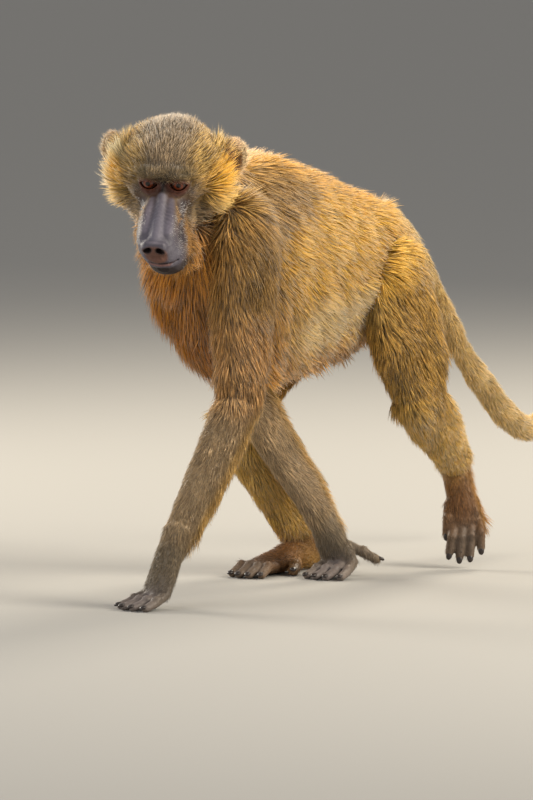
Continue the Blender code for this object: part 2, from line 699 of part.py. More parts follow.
def hand_form(name, wrist, knuckle, fingers, side, thumb=None):
    """Palm, four fingers flat on the floor and a thumb, which points to -X where side is 1."""
    bm = bmesh.new()
    ahead = (fingers - knuckle)
    ahead.z = 0
    ahead.normalize()
    wide = Vector((-ahead.y, ahead.x, 0))
    limb(bm, [
        (wrist + (wrist - knuckle) * 0.30, 0.0145, 0.0130),
        (wrist, 0.0150, 0.0125),
        (toward(wrist, knuckle, 0.5), 0.0185, 0.0115),
        (knuckle, 0.0210, 0.0098),
    ], across=wide)
    lengths = (0.88, 1.04, 1.0, 0.84)
    for k in range(4):
        shift = wide * (k - 1.5) * 0.0104
        splay = wide * (k - 1.5) * 0.0028
        root = knuckle + shift
        reach = (fingers - knuckle).length * lengths[k if side > 0 else 3 - k]
        tip = root + ahead * reach + splay
        bend = root + ahead * reach * 0.48 + splay * 0.5
        root.z = knuckle.z
        bend.z = 0.0092
        tip.z = 0.0036
        digit(bm, [root, bend, tip], 0.0052)
    if not thumb:
        root = toward(wrist, knuckle, 0.55) - wide * 0.012 * side
        tip = root - wide * 0.013 * side - ahead * 0.010
        tip.z = max(0.0060, root.z - 0.016)
        thumb = (root, toward(root, tip, 0.5), tip)
    digit(bm, list(thumb), 0.0050)
    return fuse(bm, name, HAND_VOXEL, HAND_FACES, 3)


def right_foot():
    """The planted foot: heel, sole, toes and the great toe."""
    bm = bmesh.new()
    limb(bm, [
        (R_ANKLE + (R_KNEE - R_ANKLE) * 0.10, 0.0140, 0.0145),
        (R_ANKLE, 0.0140, 0.0160),
        (R_HEEL + Vector((0, -0.006, 0.004)), 0.0130, 0.0150),
    ])
    limb(bm, [
        (R_HEEL, 0.0120, 0.0125),
        (toward(R_HEEL, R_BALL, 0.35) + Vector((0, 0, 0.006)), 0.0135, 0.0155),
        (toward(R_HEEL, R_BALL, 0.70) + Vector((0, 0, 0.002)), 0.0155, 0.0125),
        (R_BALL, 0.0175, 0.0100),
    ])
    ahead = Vector((R_TOES.x - R_BALL.x, R_TOES.y - R_BALL.y, 0)).normalized()
    wide = Vector((-ahead.y, ahead.x, 0))
    lengths = (0.86, 1.0, 0.98, 0.82)
    for k in range(4):
        root = R_BALL + wide * (k - 1.5) * 0.0090
        tip = root + ahead * 0.040 * lengths[3 - k] + wide * (k - 1.5) * 0.0025
        bend = toward(root, tip, 0.5)
        bend.z = 0.0105
        tip.z = 0.0045
        digit(bm, [root, bend, tip], 0.0054)
    great = toward(R_HEEL, R_BALL, 0.52) + wide * 0.012
    end = great + wide * 0.013 + ahead * 0.030
    end.z = 0.0055
    digit(bm, [great, toward(great, end, 0.5), end], 0.0062)
    return fuse(bm, "foot_right", HAND_VOXEL, FOOT_FACES, 3)


def left_foot():
    """The lifted foot, which hangs with its toes down."""
    bm = bmesh.new()
    down = (L_BALL - L_ANKLE).normalized()
    wide = Vector((0.80, 0.60, 0.0))
    wide = (wide - down * wide.dot(down)).normalized()
    face = wide.cross(down).normalized()
    if face.y > 0:
        face = -face
    heel = L_ANKLE - face * 0.012 + Vector((0, 0, -0.004))
    limb(bm, [
        (L_ANKLE + (L_KNEE - L_ANKLE) * 0.10, 0.0145, 0.0145),
        (L_ANKLE, 0.0150, 0.0150),
        (toward(L_ANKLE, L_BALL, 0.40), 0.0155, 0.0125),
        (toward(L_ANKLE, L_BALL, 0.75), 0.0170, 0.0105),
        (L_BALL, 0.0178, 0.0090),
    ], across=wide)
    ball(bm, heel, (0.0125, 0.0120, 0.0125))
    lengths = (0.80, 0.98, 1.0, 0.84)
    for k in range(4):
        root = L_BALL + wide * (k - 1.5) * 0.0090
        way = (L_TOES - L_BALL).normalized()
        reach = (L_TOES - L_BALL).length * lengths[k]
        tip = root + way * reach + wide * (k - 1.5) * 0.0020 - face * 0.004
        bend = toward(root, tip, 0.45) + face * 0.0035
        digit(bm, [root, bend, tip], 0.0052)
    great = toward(L_ANKLE, L_BALL, 0.62) - wide * 0.013
    end = great - wide * 0.009 + down * 0.030 - face * 0.003
    digit(bm, [great, toward(great, end, 0.5) + face * 0.002, end], 0.0060)
    return fuse(bm, "foot_left", HAND_VOXEL, FOOT_FACES, 3)


def trim(thing, centre, normal, reach=0.09):
    """Takes off what lies beyond a plane, as far as a box of the given reach."""
    return keep_largest(join_to(thing, block(centre, normal, reach, reach, reach), "DIFFERENCE"))


def zone(rows, pad, out):
    """A closed tube around a limb, drawn out sideways so that only its inner wall cuts."""
    bm = bmesh.new()
    path = smooth_path([(*centre, wide, deep) for centre, wide, deep in rows], 1)
    rings = []
    last = len(path) - 1
    for k, row in enumerate(path):
        ahead = Vector(path[min(k + 1, last)][:3])
        behind = Vector(path[max(k - 1, 0)][:3])
        along = (ahead - behind).normalized()
        side = Vector((1, 0, 0))
        side = (side - along * side.dot(along)).normalized()
        deep = along.cross(side)
        centre = Vector(row[:3])
        if k in (0, last):
            centre = centre + along * pad * (1 if k else -1)
        ring = []
        for i in range(18):
            turn = 2 * math.pi * (i + 0.5) / 18
            c = math.cos(turn) * (row[3] + pad)
            if c * out > 0:
                c += out
            ring.append(centre + side * c + deep * math.sin(turn) * (row[4] + pad))
        rings.append(ring)
    add_rings(bm, rings)
    bmesh.ops.recalc_face_normals(bm, faces=bm.faces)
    return show(bm, "zone")


def part_off(whole, rows, out):
    """Splits an object into (what lies outside the zone, what lies in it), a gap apart."""
    inside = bpy.data.objects.new("inside", whole.data.copy())
    bpy.context.scene.collection.objects.link(inside)
    join_to(inside, zone(rows, 0.0, out), "INTERSECT")
    join_to(whole, zone(rows, GAP, out), "DIFFERENCE")
    return whole, keep_largest(inside)


def grow(whole, gaps=1.4):
    """A copy of an object pushed out by so many gaps, to cut its neighbour with."""
    bm = bmesh.new()
    bm.from_mesh(whole.data)
    bm.normal_update()
    moves = [v.normal * GAP * gaps for v in bm.verts]
    for v, move in zip(bm.verts, moves):
        v.co += move
    return show(bm, "grown")


def lock(bm, root, normal, lie, size, chance):
    """A flat tapered lock that rises off the skin and bends over along the lie of the coat."""
    length, width, lift = LOCK_SIZES[size]
    length *= chance.uniform(0.85, 1.15)
    width *= chance.uniform(0.85, 1.10)
    along = (lie - normal * lie.dot(normal)).normalized()
    side = normal.cross(along).normalized()
    along = (along + side * chance.uniform(-0.22, 0.22)).normalized()
    side = normal.cross(along).normalized()
    steps = ((0.0, 1.00, -LOCK_ROOT), (0.38, 0.92, lift * 0.30 * length), (0.72, 0.55, lift * 0.80 * length))
    rings = []
    for t, shrink, height in steps:
        middle = root + along * length * t + normal * height
        wide = side * width * 0.5 * shrink
        thick = normal * LOCK_THICK * 0.5 * shrink
        rings.append([middle + wide, middle + thick, middle - wide, middle - thick])
    rows = [[bm.verts.new(p) for p in ring] for ring in rings]
    tip = bm.verts.new(root + along * length + normal * lift * length)
    for low, high in zip(rows, rows[1:]):
        for i in range(4):
            j = (i + 1) % 4
            bm.faces.new((low[i], low[j], high[j], high[i]))
    bm.faces.new(rows[0][::-1])
    for i in range(4):
        bm.faces.new((rows[-1][i], rows[-1][(i + 1) % 4], tip))
    bmesh.ops.recalc_face_normals(bm, faces=bm.faces)


def grow_locks(thing, rows, chance):
    """Strews the rows over an object and fuses every lock with it."""
    tree = BVHTree.FromObject(thing, bpy.context.evaluated_depsgraph_get())
    group = bpy.data.collections.new("locks")
    bpy.context.scene.collection.children.link(group)
    for size, start, end, step, lines, count, lie, *twin in rows:
        for mirror in (1, -1) if twin else (1,):
            flip = Vector((mirror, 1, 1))
            for line in range(lines):
                for k in range(count):
                    t = (k + 0.5 * (line % 2) + chance.uniform(-0.2, 0.2)) / max(1, count - 1)
                    spot = Vector(start).lerp(Vector(end), t) + Vector(step) * line
                    place, normal, _, _ = tree.find_nearest(spot * flip)
                    bm = bmesh.new()
                    lock(bm, place, normal, Vector(lie) * flip, size, chance)
                    one = show(bm, "lock")
                    bpy.context.scene.collection.objects.unlink(one)
                    group.objects.link(one)
    step = thing.modifiers.new("Locks", "BOOLEAN")
    step.operation = "UNION"
    step.solver = "MANIFOLD"
    step.operand_type = "COLLECTION"
    step.collection = group
    settle(thing)
    for one in list(group.objects):
        bpy.data.objects.remove(one)
    bpy.data.collections.remove(group)
    return keep_largest(thing)


for thing in list(bpy.data.objects):
    bpy.data.objects.remove(thing)
CHANCE = random.Random(SEED)

# Head, eyes and ears, made level and then turned
head = grow_locks(head_form(), HEAD_ROWS, CHANCE)
ears = {}
eyes = {}
for side, word in ((1, "left"), (-1, "right")):
    ears[word] = keep_largest(join_to(ear_form(side), grow(head, EAR_GAPS), "DIFFERENCE"))
    eyes[word] = eye_form(side)
turn = Matrix.Translation(SKULL) @ head_turn().to_4x4()
for thing in (head, *ears.values(), *eyes.values()):
    thing.data.transform(turn)

body = body_form()

# Neck plane: the head ends two gaps before it and the neck starts at it
NECK_CUT = head_point((0.0, 0.034, -0.030))
NECK_WAY = (Vector((0.0, -0.094, 0.372)) - NECK_CUT).normalized()
trim(head, NECK_CUT - NECK_WAY * GAP * 2, NECK_WAY, 0.20)
join_to(body, block(NECK_CUT, -NECK_WAY, 0.15, 0.15, 0.10), "DIFFERENCE")
cutter = grow(body)

# Hands and feet end a gap beyond the wrist and ankle planes
hands = {
    "left": hand_form("hand_left", L_WRIST, L_KNUCKLE, L_FINGERS, 1),
    "right": hand_form("hand_right", R_WRIST, R_KNUCKLE, R_FINGERS, -1, R_THUMB),
}
feet = {"left": left_foot(), "right": right_foot()}
ENDS = (
    (hands["left"], L_ELBOW, L_WRIST),
    (hands["right"], R_ELBOW, R_WRIST),
    (feet["left"], L_KNEE, L_ANKLE),
    (feet["right"], R_KNEE, R_ANKLE),
)
for thing, upper, lower in ENDS:
    way = (upper - lower).normalized()
    trim(thing, lower + way * 0.004, way, 0.05)
    join_to(body, block(lower + way * (0.004 + GAP), -way, 0.05, 0.05, 0.06), "DIFFERENCE")
for thing in (hands["left"], hands["right"], feet["right"]):
    trim(thing, (0, 0, 0.0008), (0, 0, -1), 0.9)

# Locks of the body, and the head cleared of the neck and shoulders
head = keep_largest(join_to(head, cutter, "DIFFERENCE"))
body = grow_locks(body, BODY_ROWS + LIMB_ROWS, CHANCE)
for word in ("left", "right"):
    ears[word] = keep_largest(join_to(ears[word], grow(body, EAR_GAPS), "DIFFERENCE"))
    hands[word] = keep_largest(join_to(hands[word], grow(body, EAR_GAPS), "DIFFERENCE"))

# Zones part the rest of the body: each keeps its own inside, a gap from the rest
body, neck = part_off(body, [
    (NECK_CUT + NECK_WAY * 0.052, 0.050, 0.056),
    (NECK_CUT - NECK_WAY * 0.030, 0.078, 0.084),
], 0.0)
parts = {"neck": neck}
for word, top, low in (("left", L_SHOULDER, L_ELBOW), ("right", R_SHOULDER, R_ELBOW)):
    rows = [(toward(top, low, t), wide, deep) for t, wide, deep in ARM_ZONE]
    body, parts["upper_arm_" + word] = part_off(body, rows, math.copysign(0.06, top.x))
body, parts["forearm_right"] = part_off(body, [
    (toward(R_ELBOW, R_WRIST, -0.10), 0.027, 0.032),
    (toward(R_ELBOW, R_WRIST, 1.10), 0.027, 0.032),
], 0.0)
for word, top, low in (("left", L_HIP, L_KNEE), ("right", R_HIP, R_KNEE)):
    rows = [(toward(top, low, t), wide, deep) for t, wide, deep in THIGH_ZONE]
    body, parts["thigh_" + word] = part_off(body, rows, math.copysign(0.06, top.x))
for name, zone_rows in (("tail_end", TAIL_END_ZONE), ("tail", TAIL_ZONE)):
    rows = [(Vector(place), wide, deep) for place, wide, deep in zone_rows]
    body, parts[name] = part_off(body, rows, 0.0)
MIDDLES = {
    "torso": (0.0, 0.010, 0.320),
    "forearm_left": toward(L_ELBOW, L_WRIST, 0.5),
    "shank_left": toward(L_KNEE, L_ANKLE, 0.5),
    "shank_right": toward(R_KNEE, R_ANKLE, 0.5),
}
nodes = {}
for piece in pieces_of(body):
    middle = sum((v.co for v in piece.verts), Vector()) / len(piece.verts)
    name = min(MIDDLES, key=lambda key: (Vector(MIDDLES[key]) - middle).length)
    if name in nodes:
        piece.free()
        continue
    bmesh.ops.triangulate(piece, faces=piece.faces)
    nodes[name] = show(piece, name)
bpy.data.objects.remove(body)
nodes.update(parts)
nodes["head"] = head
for word in ("left", "right"):
    nodes["ear_" + word] = ears[word]
    nodes["eye_" + word] = eyes[word]
    nodes["hand_" + word] = hands[word]
    nodes["foot_" + word] = feet[word]

# Recentre: the floor at z 0, the middle of the box at x 0 and y 0
corners = np.array([v.co[:] for thing in nodes.values() for v in thing.data.vertices])
low = corners.min(axis=0)
high = corners.max(axis=0)
shift = Matrix.Translation((-(low[0] + high[0]) / 2, -(low[1] + high[1]) / 2, -low[2]))
KINDS = ("head", "neck", "torso", "tail", "arm", "leg", "hand", "foot", "ear", "eye")
paints = {}
for name, thing in nodes.items():
    thing.data.transform(shift)
    thing.name = name
    thing.data.name = name
    kind = next((k for k in KINDS if k in name), "leg")
    if kind not in paints:
        paints[kind] = paint(kind)
    thing.data.materials.clear()
    thing.data.materials.append(paints[kind])
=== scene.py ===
import math

import bmesh
import bpy
import numpy as np
from mathutils import Matrix, Vector


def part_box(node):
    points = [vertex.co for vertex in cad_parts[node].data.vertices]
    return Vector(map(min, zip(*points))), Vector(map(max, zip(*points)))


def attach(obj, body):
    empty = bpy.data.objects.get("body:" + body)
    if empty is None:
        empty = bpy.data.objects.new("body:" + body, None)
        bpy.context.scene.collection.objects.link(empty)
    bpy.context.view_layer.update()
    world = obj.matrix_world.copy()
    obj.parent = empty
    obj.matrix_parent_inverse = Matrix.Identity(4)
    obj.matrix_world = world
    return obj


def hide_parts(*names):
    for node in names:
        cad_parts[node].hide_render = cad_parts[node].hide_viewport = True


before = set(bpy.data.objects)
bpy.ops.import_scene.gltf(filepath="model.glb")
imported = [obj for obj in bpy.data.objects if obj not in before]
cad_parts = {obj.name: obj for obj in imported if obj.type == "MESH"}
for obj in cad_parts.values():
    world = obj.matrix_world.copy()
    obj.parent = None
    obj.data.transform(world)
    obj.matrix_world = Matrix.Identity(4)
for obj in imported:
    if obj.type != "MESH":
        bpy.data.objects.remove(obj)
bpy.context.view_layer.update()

# Young guinea baboon: one skin, a coat of fine tufts, eyes and nails.
# Places are in the solids' own metres before they were centred: +Z up, faces -Y, its left is +X.

# Joints, left side
L_SHOULDER = Vector((0.054, -0.138, 0.345))
L_ELBOW = Vector((0.062, -0.160, 0.198))
L_WRIST = Vector((0.044, -0.246, 0.062))
L_KNUCKLE = Vector((0.037, -0.264, 0.0160))
L_FINGERS = Vector((0.027, -0.294, 0.0065))
L_KNEE = Vector((0.080, 0.126, 0.190))
L_ANKLE = Vector((0.051, 0.238, 0.104))
L_BALL = Vector((0.070, 0.232, 0.048))
L_TOES = Vector((0.076, 0.220, 0.014))

# Joints, right side
R_SHOULDER = Vector((-0.052, -0.108, 0.338))
R_ELBOW = Vector((-0.067, 0.012, 0.210))
R_WRIST = Vector((0.004, 0.071, 0.056))
R_KNUCKLE = Vector((0.014, 0.086, 0.0165))
R_FINGERS = Vector((0.018, 0.048, 0.0065))
R_KNEE = Vector((-0.084, 0.038, 0.157))
R_ANKLE = Vector((-0.059, 0.118, 0.034))
R_HEEL = Vector((-0.055, 0.134, 0.0125))
R_BALL = Vector((-0.059, 0.055, 0.0100))
R_TOES = Vector((-0.055, 0.017, 0.0065))
R_THUMB = [Vector((0.019, 0.088, 0.034)), Vector((0.033, 0.098, 0.026)), Vector((0.045, 0.1065, 0.0185))]
ARMS = ((L_SHOULDER, L_ELBOW, L_WRIST), (R_SHOULDER, R_ELBOW, R_WRIST))
UP = Vector((0, 0, 1))

# Arms, out to the coat's tips: share of the way down, half width, half depth
UPPER_ARM = ((0.35, 0.027, 0.038), (0.70, 0.024, 0.030))
# The same of the forearm, with its shift back after the share
FOREARM = (
    (0.00, 0.003, 0.0205, 0.0240),
    (0.28, 0.003, 0.0205, 0.0250),
    (0.62, 0.004, 0.0190, 0.0225),
    (0.88, 0.004, 0.0170, 0.0185),
    (1.05, 0.002, 0.0160, 0.0150),
)

# Centre, half width and half depth along the legs, out to the coat's tips
L_THIGH = (
    ((0.040, 0.135, 0.318), 0.026, 0.044),
    ((0.052, 0.134, 0.275), 0.030, 0.051),
    ((0.066, 0.132, 0.232), 0.029, 0.053),
    ((0.078, 0.128, 0.196), 0.026, 0.038),
)
L_SHANK = (
    ((0.080, 0.124, 0.186), 0.0235, 0.0300),
    ((0.076, 0.158, 0.160), 0.0235, 0.0290),
    ((0.067, 0.196, 0.134), 0.0205, 0.0245),
    ((0.058, 0.224, 0.115), 0.0168, 0.0185),
    ((0.051, 0.240, 0.102), 0.0150, 0.0155),
)
R_THIGH = (
    ((-0.042, 0.120, 0.308), 0.026, 0.046),
    ((-0.054, 0.103, 0.261), 0.029, 0.053),
    ((-0.068, 0.074, 0.212), 0.027, 0.042),
    ((-0.081, 0.048, 0.167), 0.0235, 0.028),
)
R_SHANK = (
    ((-0.084, 0.038, 0.157), 0.0225, 0.0235),
    ((-0.0765, 0.065, 0.118), 0.0225, 0.0265),
    ((-0.0685, 0.0876, 0.0807), 0.0195, 0.0220),
    ((-0.062, 0.1084, 0.0488), 0.0175, 0.0195),
    ((-0.058, 0.1212, 0.0291), 0.0150, 0.0155),
)
LEGS = ((L_THIGH, L_SHANK), (R_THIGH, R_SHANK))

# Four digits of a hand and of a standing foot: lengths as shares of the reach,
# apart, splay, height of the bend and the tip, radius; then how far out they bend
HAND_DIGITS = ((0.88, 1.04, 1.0, 0.84), 0.0104, 0.0028, 0.0092, 0.0042, 0.0050, 0.48)
FOOT_DIGITS = ((0.86, 1.0, 0.98, 0.82), 0.0090, 0.0025, 0.0105, 0.0045, 0.0052, 0.5)
FOOT_REACH = 0.040
HAND_THUMB = 0.0052
FOOT_THUMB = 0.0060
LIFTED_LENGTHS = (0.80, 0.98, 1.0, 0.84)
LIFTED_TOE = 0.0050
LIFTED_THUMB = 0.0057
LIFTED_ACROSS = Vector((0.80, 0.60, 0.0))

# Head: place of the braincase, here and in the solids, its turn to the left and its tilt down
SKULL = Vector((0.01016, -0.20395, 0.4364))
CAD_SKULL = Vector((0.0118, -0.2028, 0.4364))
HEAD_YAW = math.radians(26.5)
HEAD_PITCH = math.radians(27.5)
HEAD_ROLL = math.radians(3.5)
HEAD_TURN = (
    Matrix.Rotation(HEAD_YAW, 3, "Z")
    @ Matrix.Rotation(HEAD_PITCH, 3, "X")
    @ Matrix.Rotation(HEAD_ROLL, 3, "Y")
)
EYE_APART = 0.0147
EYE_OUT = 0.0372
EYE_UP = -0.0010
EYE_RADIUS = 0.0094
EYE_AT = (EYE_APART, -EYE_OUT, EYE_UP)
EAR = (0.0580, 0.0280, -0.0100)

# Trunk rings of the solids: y, top z, bottom z, half width, sideways shift
TRUNK = (
    (-0.182, 0.388, 0.300, 0.034, 0.004),
    (-0.168, 0.404, 0.268, 0.044, 0.003),
    (-0.140, 0.422, 0.240, 0.052, 0.001),
    (-0.100, 0.433, 0.216, 0.059, 0.000),
    (-0.050, 0.437, 0.204, 0.062, 0.000),
    (0.000, 0.427, 0.208, 0.062, 0.000),
    (0.045, 0.414, 0.216, 0.060, 0.000),
    (0.090, 0.399, 0.226, 0.057, 0.000),
    (0.130, 0.386, 0.238, 0.055, 0.000),
    (0.160, 0.375, 0.258, 0.048, 0.000),
    (0.184, 0.364, 0.284, 0.035, 0.000),
    (0.198, 0.352, 0.302, 0.021, 0.000),
)
TRUNK_SIDES = 36
TRUNK_STEPS = 4
TRUNK_ROUND = 0.88
END_INSET = 0.009

# Tail: centre and radius, from root to tip
TAIL = (
    (0.000, 0.170, 0.360, 0.0115),
    (0.000, 0.192, 0.361, 0.0115),
    (0.000, 0.212, 0.350, 0.0106),
    (0.000, 0.234, 0.331, 0.0102),
    (0.000, 0.256, 0.307, 0.0102),
    (0.000, 0.276, 0.281, 0.0106),
    (0.000, 0.298, 0.250, 0.0116),
    (0.000, 0.321, 0.218, 0.0128),
    (0.000, 0.348, 0.191, 0.0138),
    (0.000, 0.386, 0.158, 0.0146),
    (0.000, 0.418, 0.135, 0.0148),
    (-0.001, 0.450, 0.124, 0.0135),
    (-0.002, 0.478, 0.134, 0.0100),
    (-0.002, 0.492, 0.150, 0.0050),
)

# How far the skin lies inside the solids, by part
TRUNK_DEPTH = 0.0080
NECK_DEPTH = 0.0080
ARM_DEPTH = 0.0045
FOREARM_DEPTH = 0.0024
THIGH_DEPTH = 0.0050
SHANK_DEPTH = 0.0028
TAIL_DEPTH = 0.0030
PALM_DEPTH = 0.0006
ANKLE_DEPTH = 0.0010
FLOOR_GAP = 0.0003

# Fineness of the skin and the coat; a tuft over LONG bends over, and has more triangles
VOXEL = 0.0012
HEAD_STEP = 0.0008
HEAD_KEPT = 0.55
SKIN_FACES = 90000
TUFTS = 186000
LONG = 0.0125
PIECE_FACES = 190000
LONG_FACES = 10
SHORT_FACES = 4
FEWEST_TUFTS = 10
CHANCE = np.random.default_rng(5)
TINY = 1e-9


def head_point(place):
    """A point of the head's own frame (left, back, up)."""
    return SKULL + HEAD_TURN @ Vector(place)


def toward(a, b, t):
    return Vector(a).lerp(Vector(b), t)


# The solids were centred as the last step, so the left eye gives the move
low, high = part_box("eye_left")
SHIFT = (Vector(low) + Vector(high)) / 2 - (CAD_SKULL + HEAD_TURN @ Vector(EYE_AT))


def smooth_path(rows, steps):
    """Rows of numbers, with points of a rounded curve put between them."""
    rows = np.array(rows, float)
    padded = np.vstack([2 * rows[0] - rows[1], rows, 2 * rows[-1] - rows[-2]])
    out = []
    for i in range(1, len(padded) - 2):
        a, b, c, d = padded[i - 1 : i + 3]
        for k in range(steps):
            t = k / steps
            flat = 2 * b + (c - a) * t + (2 * a - 5 * b + 4 * c - d) * t * t
            out.append(0.5 * (flat + (3 * b - a - 3 * c + d) * t**3))
    out.append(rows[-1])
    return np.array(out)


def add_rings(bm, rings):
    """Joins rings of points into a closed tube."""
    rows = [[bm.verts.new(p) for p in ring] for ring in rings]
    count = len(rows[0])
    for near, far in zip(rows, rows[1:]):
        for i in range(count):
            j = (i + 1) % count
            bm.faces.new((near[i], near[j], far[j], far[i]))
    bm.faces.new(rows[0][::-1])
    bm.faces.new(rows[-1])


# Rings of a rounded end: how far out, as a share of the radius, and how much smaller
ROUND_END = ((0.0, 1.0), (0.3, 0.95), (0.66, 0.75), (0.92, 0.4))


def limb(bm, stations, across=(1, 0, 0), sides=24, steps=5, depth=0.0):
    """A tube through (centre, half width, half depth) with rounded ends, thinner by depth."""
    rows = [(*centre, wide - depth, deep - depth) for centre, wide, deep in stations]
    path = smooth_path(rows, steps)
    start = (Vector(path[0][:3]) - Vector(path[1][:3])).normalized()
    end = (Vector(path[-1][:3]) - Vector(path[-2][:3])).normalized()
    rings = []
    last = len(path) - 1
    for k, row in enumerate(path):
        ahead = Vector(path[min(k + 1, last)][:3])
        behind = Vector(path[max(k - 1, 0)][:3])
        along = (ahead - behind).normalized()
        side = Vector(across)
        side = (side - along * side.dot(along)).normalized()
        deep = along.cross(side)
        scales = ROUND_END[:1]
        if k == 0:
            scales = ROUND_END[::-1]
        if k == last:
            scales = ROUND_END
        way = start if k == 0 else end
        for out, shrink in scales:
            middle = Vector(row[:3]) + way * out * min(row[3], row[4])
            ring = []
            for i in range(sides):
                turn = 2 * math.pi * i / sides
                wide = side * math.cos(turn) * row[3] * shrink
                ring.append(middle + wide + deep * math.sin(turn) * row[4] * shrink)
            rings.append(ring)
    add_rings(bm, rings)


def ball(bm, centre, radii, turn=None, detail=3):
    made = bmesh.ops.create_icosphere(bm, subdivisions=detail, radius=1.0)
    size = Matrix.Diagonal((*radii, 1.0))
    spin = turn.to_4x4() if turn else Matrix.Identity(4)
    bmesh.ops.transform(bm, matrix=Matrix.Translation(centre) @ spin @ size, verts=made["verts"])


def show(bm, name):
    """A new object of this shape, with its normals outward."""
    bmesh.ops.recalc_face_normals(bm, faces=bm.faces)
    mesh = bpy.data.meshes.new(name)
    bm.to_mesh(mesh)
    bm.free()
    thing = bpy.data.objects.new(name, mesh)
    bpy.context.scene.collection.objects.link(thing)
    return thing


def from_points(name, points, faces):
    mesh = bpy.data.meshes.new(name)
    mesh.from_pydata(points, [], faces)
    bm = bmesh.new()
    bm.from_mesh(mesh)
    bpy.data.meshes.remove(mesh)
    return show(bm, name)


def settle(thing):
    """Applies every modifier of an object."""
    graph = bpy.context.evaluated_depsgraph_get()
    mesh = bpy.data.meshes.new_from_object(thing.evaluated_get(graph))
    thing.modifiers.clear()
    thing.data = mesh


def read(parts, key, kind=np.float32):
    """Three numbers of each point or face of a mesh."""
    rows = np.empty(len(parts) * 3, kind)
    parts.foreach_get(key, rows)
    return rows.reshape(-1, 3)


def above_floor(thing, level):
    """Keeps every point at or over the level."""
    points = read(thing.data.vertices, "co")
    points[:, 2] = np.maximum(points[:, 2], level)
    thing.data.vertices.foreach_set("co", points.ravel())
    thing.data.update()


def smooth_faces(mesh):
    mesh.polygons.foreach_set("use_smooth", np.ones(len(mesh.polygons), bool))


# Trunk, neck and tail


def trunk_flesh(bm):
    rings = []
    for y, top, low, wide, shift in smooth_path(TRUNK, TRUNK_STEPS):
        top -= TRUNK_DEPTH
        low += TRUNK_DEPTH * 1.1
        wide -= TRUNK_DEPTH * 0.9
        ring = []
        for i in range(TRUNK_SIDES):
            turn = 2 * math.pi * i / TRUNK_SIDES
            c = math.cos(turn)
            across = math.copysign(abs(c) ** TRUNK_ROUND, c)
            height = (top + low) / 2 + (top - low) / 2 * math.sin(turn)
            ring.append(Vector((shift + wide * across, y, height)))
        rings.append(ring)
    add_rings(bm, rings)
    for y, top, low, wide, shift in (TRUNK[0], TRUNK[-1]):
        size = ((wide - END_INSET) * 0.98, 0.010, (top - low - 2 * END_INSET) * 0.49)
        ball(bm, (shift, y, (top + low) / 2), size)
    limb(bm, [
        (Vector((0.0, -0.088, 0.366)), 0.046, 0.062),
        (Vector((0.006, -0.130, 0.385)), 0.044, 0.056),
        (head_point((0.0, 0.016, -0.010)), 0.042, 0.048),
    ], depth=NECK_DEPTH)
    limb(bm, [(Vector(row[:3]), row[3], row[3]) for row in TAIL], depth=TAIL_DEPTH)
    ball(bm, (0.0, 0.184, 0.344), (0.018, 0.020, 0.016))


# Arms and legs


def arm_flesh(bm, shoulder, elbow, wrist):
    out = 1 if shoulder.x > 0 else -1
    rows = [
        (shoulder + Vector((-0.006 * out, 0.004, 0.036)), 0.020, 0.034),
        (shoulder, 0.026, 0.043),
    ]
    rows += [(toward(shoulder, elbow, t), wide, deep) for t, wide, deep in UPPER_ARM]
    rows.append((elbow + Vector((0, 0.004, 0.004)), 0.021, 0.0245))
    limb(bm, rows, depth=ARM_DEPTH)
    limb(bm, [
        (toward(elbow, wrist, t) + Vector((0, back, 0)), wide, deep) for t, back, wide, deep in FOREARM
    ], depth=FOREARM_DEPTH)


def leg_flesh(bm, thigh, shank):
    for rows, depth in ((thigh, THIGH_DEPTH), (shank, SHANK_DEPTH)):
        limb(bm, [(Vector(place), wide, deep) for place, wide, deep in rows], depth=depth)


# Hands and feet; every digit also leaves the place of its nail. In radii of the digit:
# its tip, its height, its knuckle's rise and size, and how far out and up its nail is
NAILS = []
DIGIT_TIP = 0.88
DIGIT_HIGH = 0.92
KNUCKLE_UP = 0.35
KNUCKLE_SIZE = 1.02
NAIL_OUT = 0.55
NAIL_UP = 0.52


def digit(bm, points, radius, flat_up=UP):
    """A finger or toe through its points, with a knuckle; flat_up is the way its nail faces."""
    rows = []
    for k, point in enumerate(points):
        shape = radius * (1.0 if k < len(points) - 1 else DIGIT_TIP)
        rows.append((point, shape, shape * DIGIT_HIGH))
    reach = points[-1] - points[0]
    limb(bm, rows, (1, 0, 0) if abs(reach.x) < 0.02 else UP, sides=14, steps=4)
    way = (points[-1] - points[-2]).normalized()
    up = (flat_up - way * flat_up.dot(way)).normalized()
    ball(bm, points[-2] + up * radius * KNUCKLE_UP, (radius * KNUCKLE_SIZE,) * 3, detail=2)
    NAILS.append((points[-1] + way * radius * NAIL_OUT + up * radius * NAIL_UP, way, up, radius))


def fan(bm, base, ahead, wide, reach, order, digits):
    """Four digits side by side on the floor, bent once."""
    lengths, apart, splay, bend_up, tip_up, radius, middle = digits
    for k in range(4):
        root = base + wide * (k - 1.5) * apart
        far = ahead * (reach * lengths[::order][k])
        spread = wide * (k - 1.5) * splay
        tip = root + far + spread
        bend = root + far * middle + spread * 0.5
        bend.z = bend_up
        tip.z = tip_up
        digit(bm, [root, bend, tip], radius)


def flat_ways(way):
    """A way without its rise, and the way to its left."""
    ahead = Vector((way.x, way.y, 0)).normalized()
    return ahead, Vector((-ahead.y, ahead.x, 0))


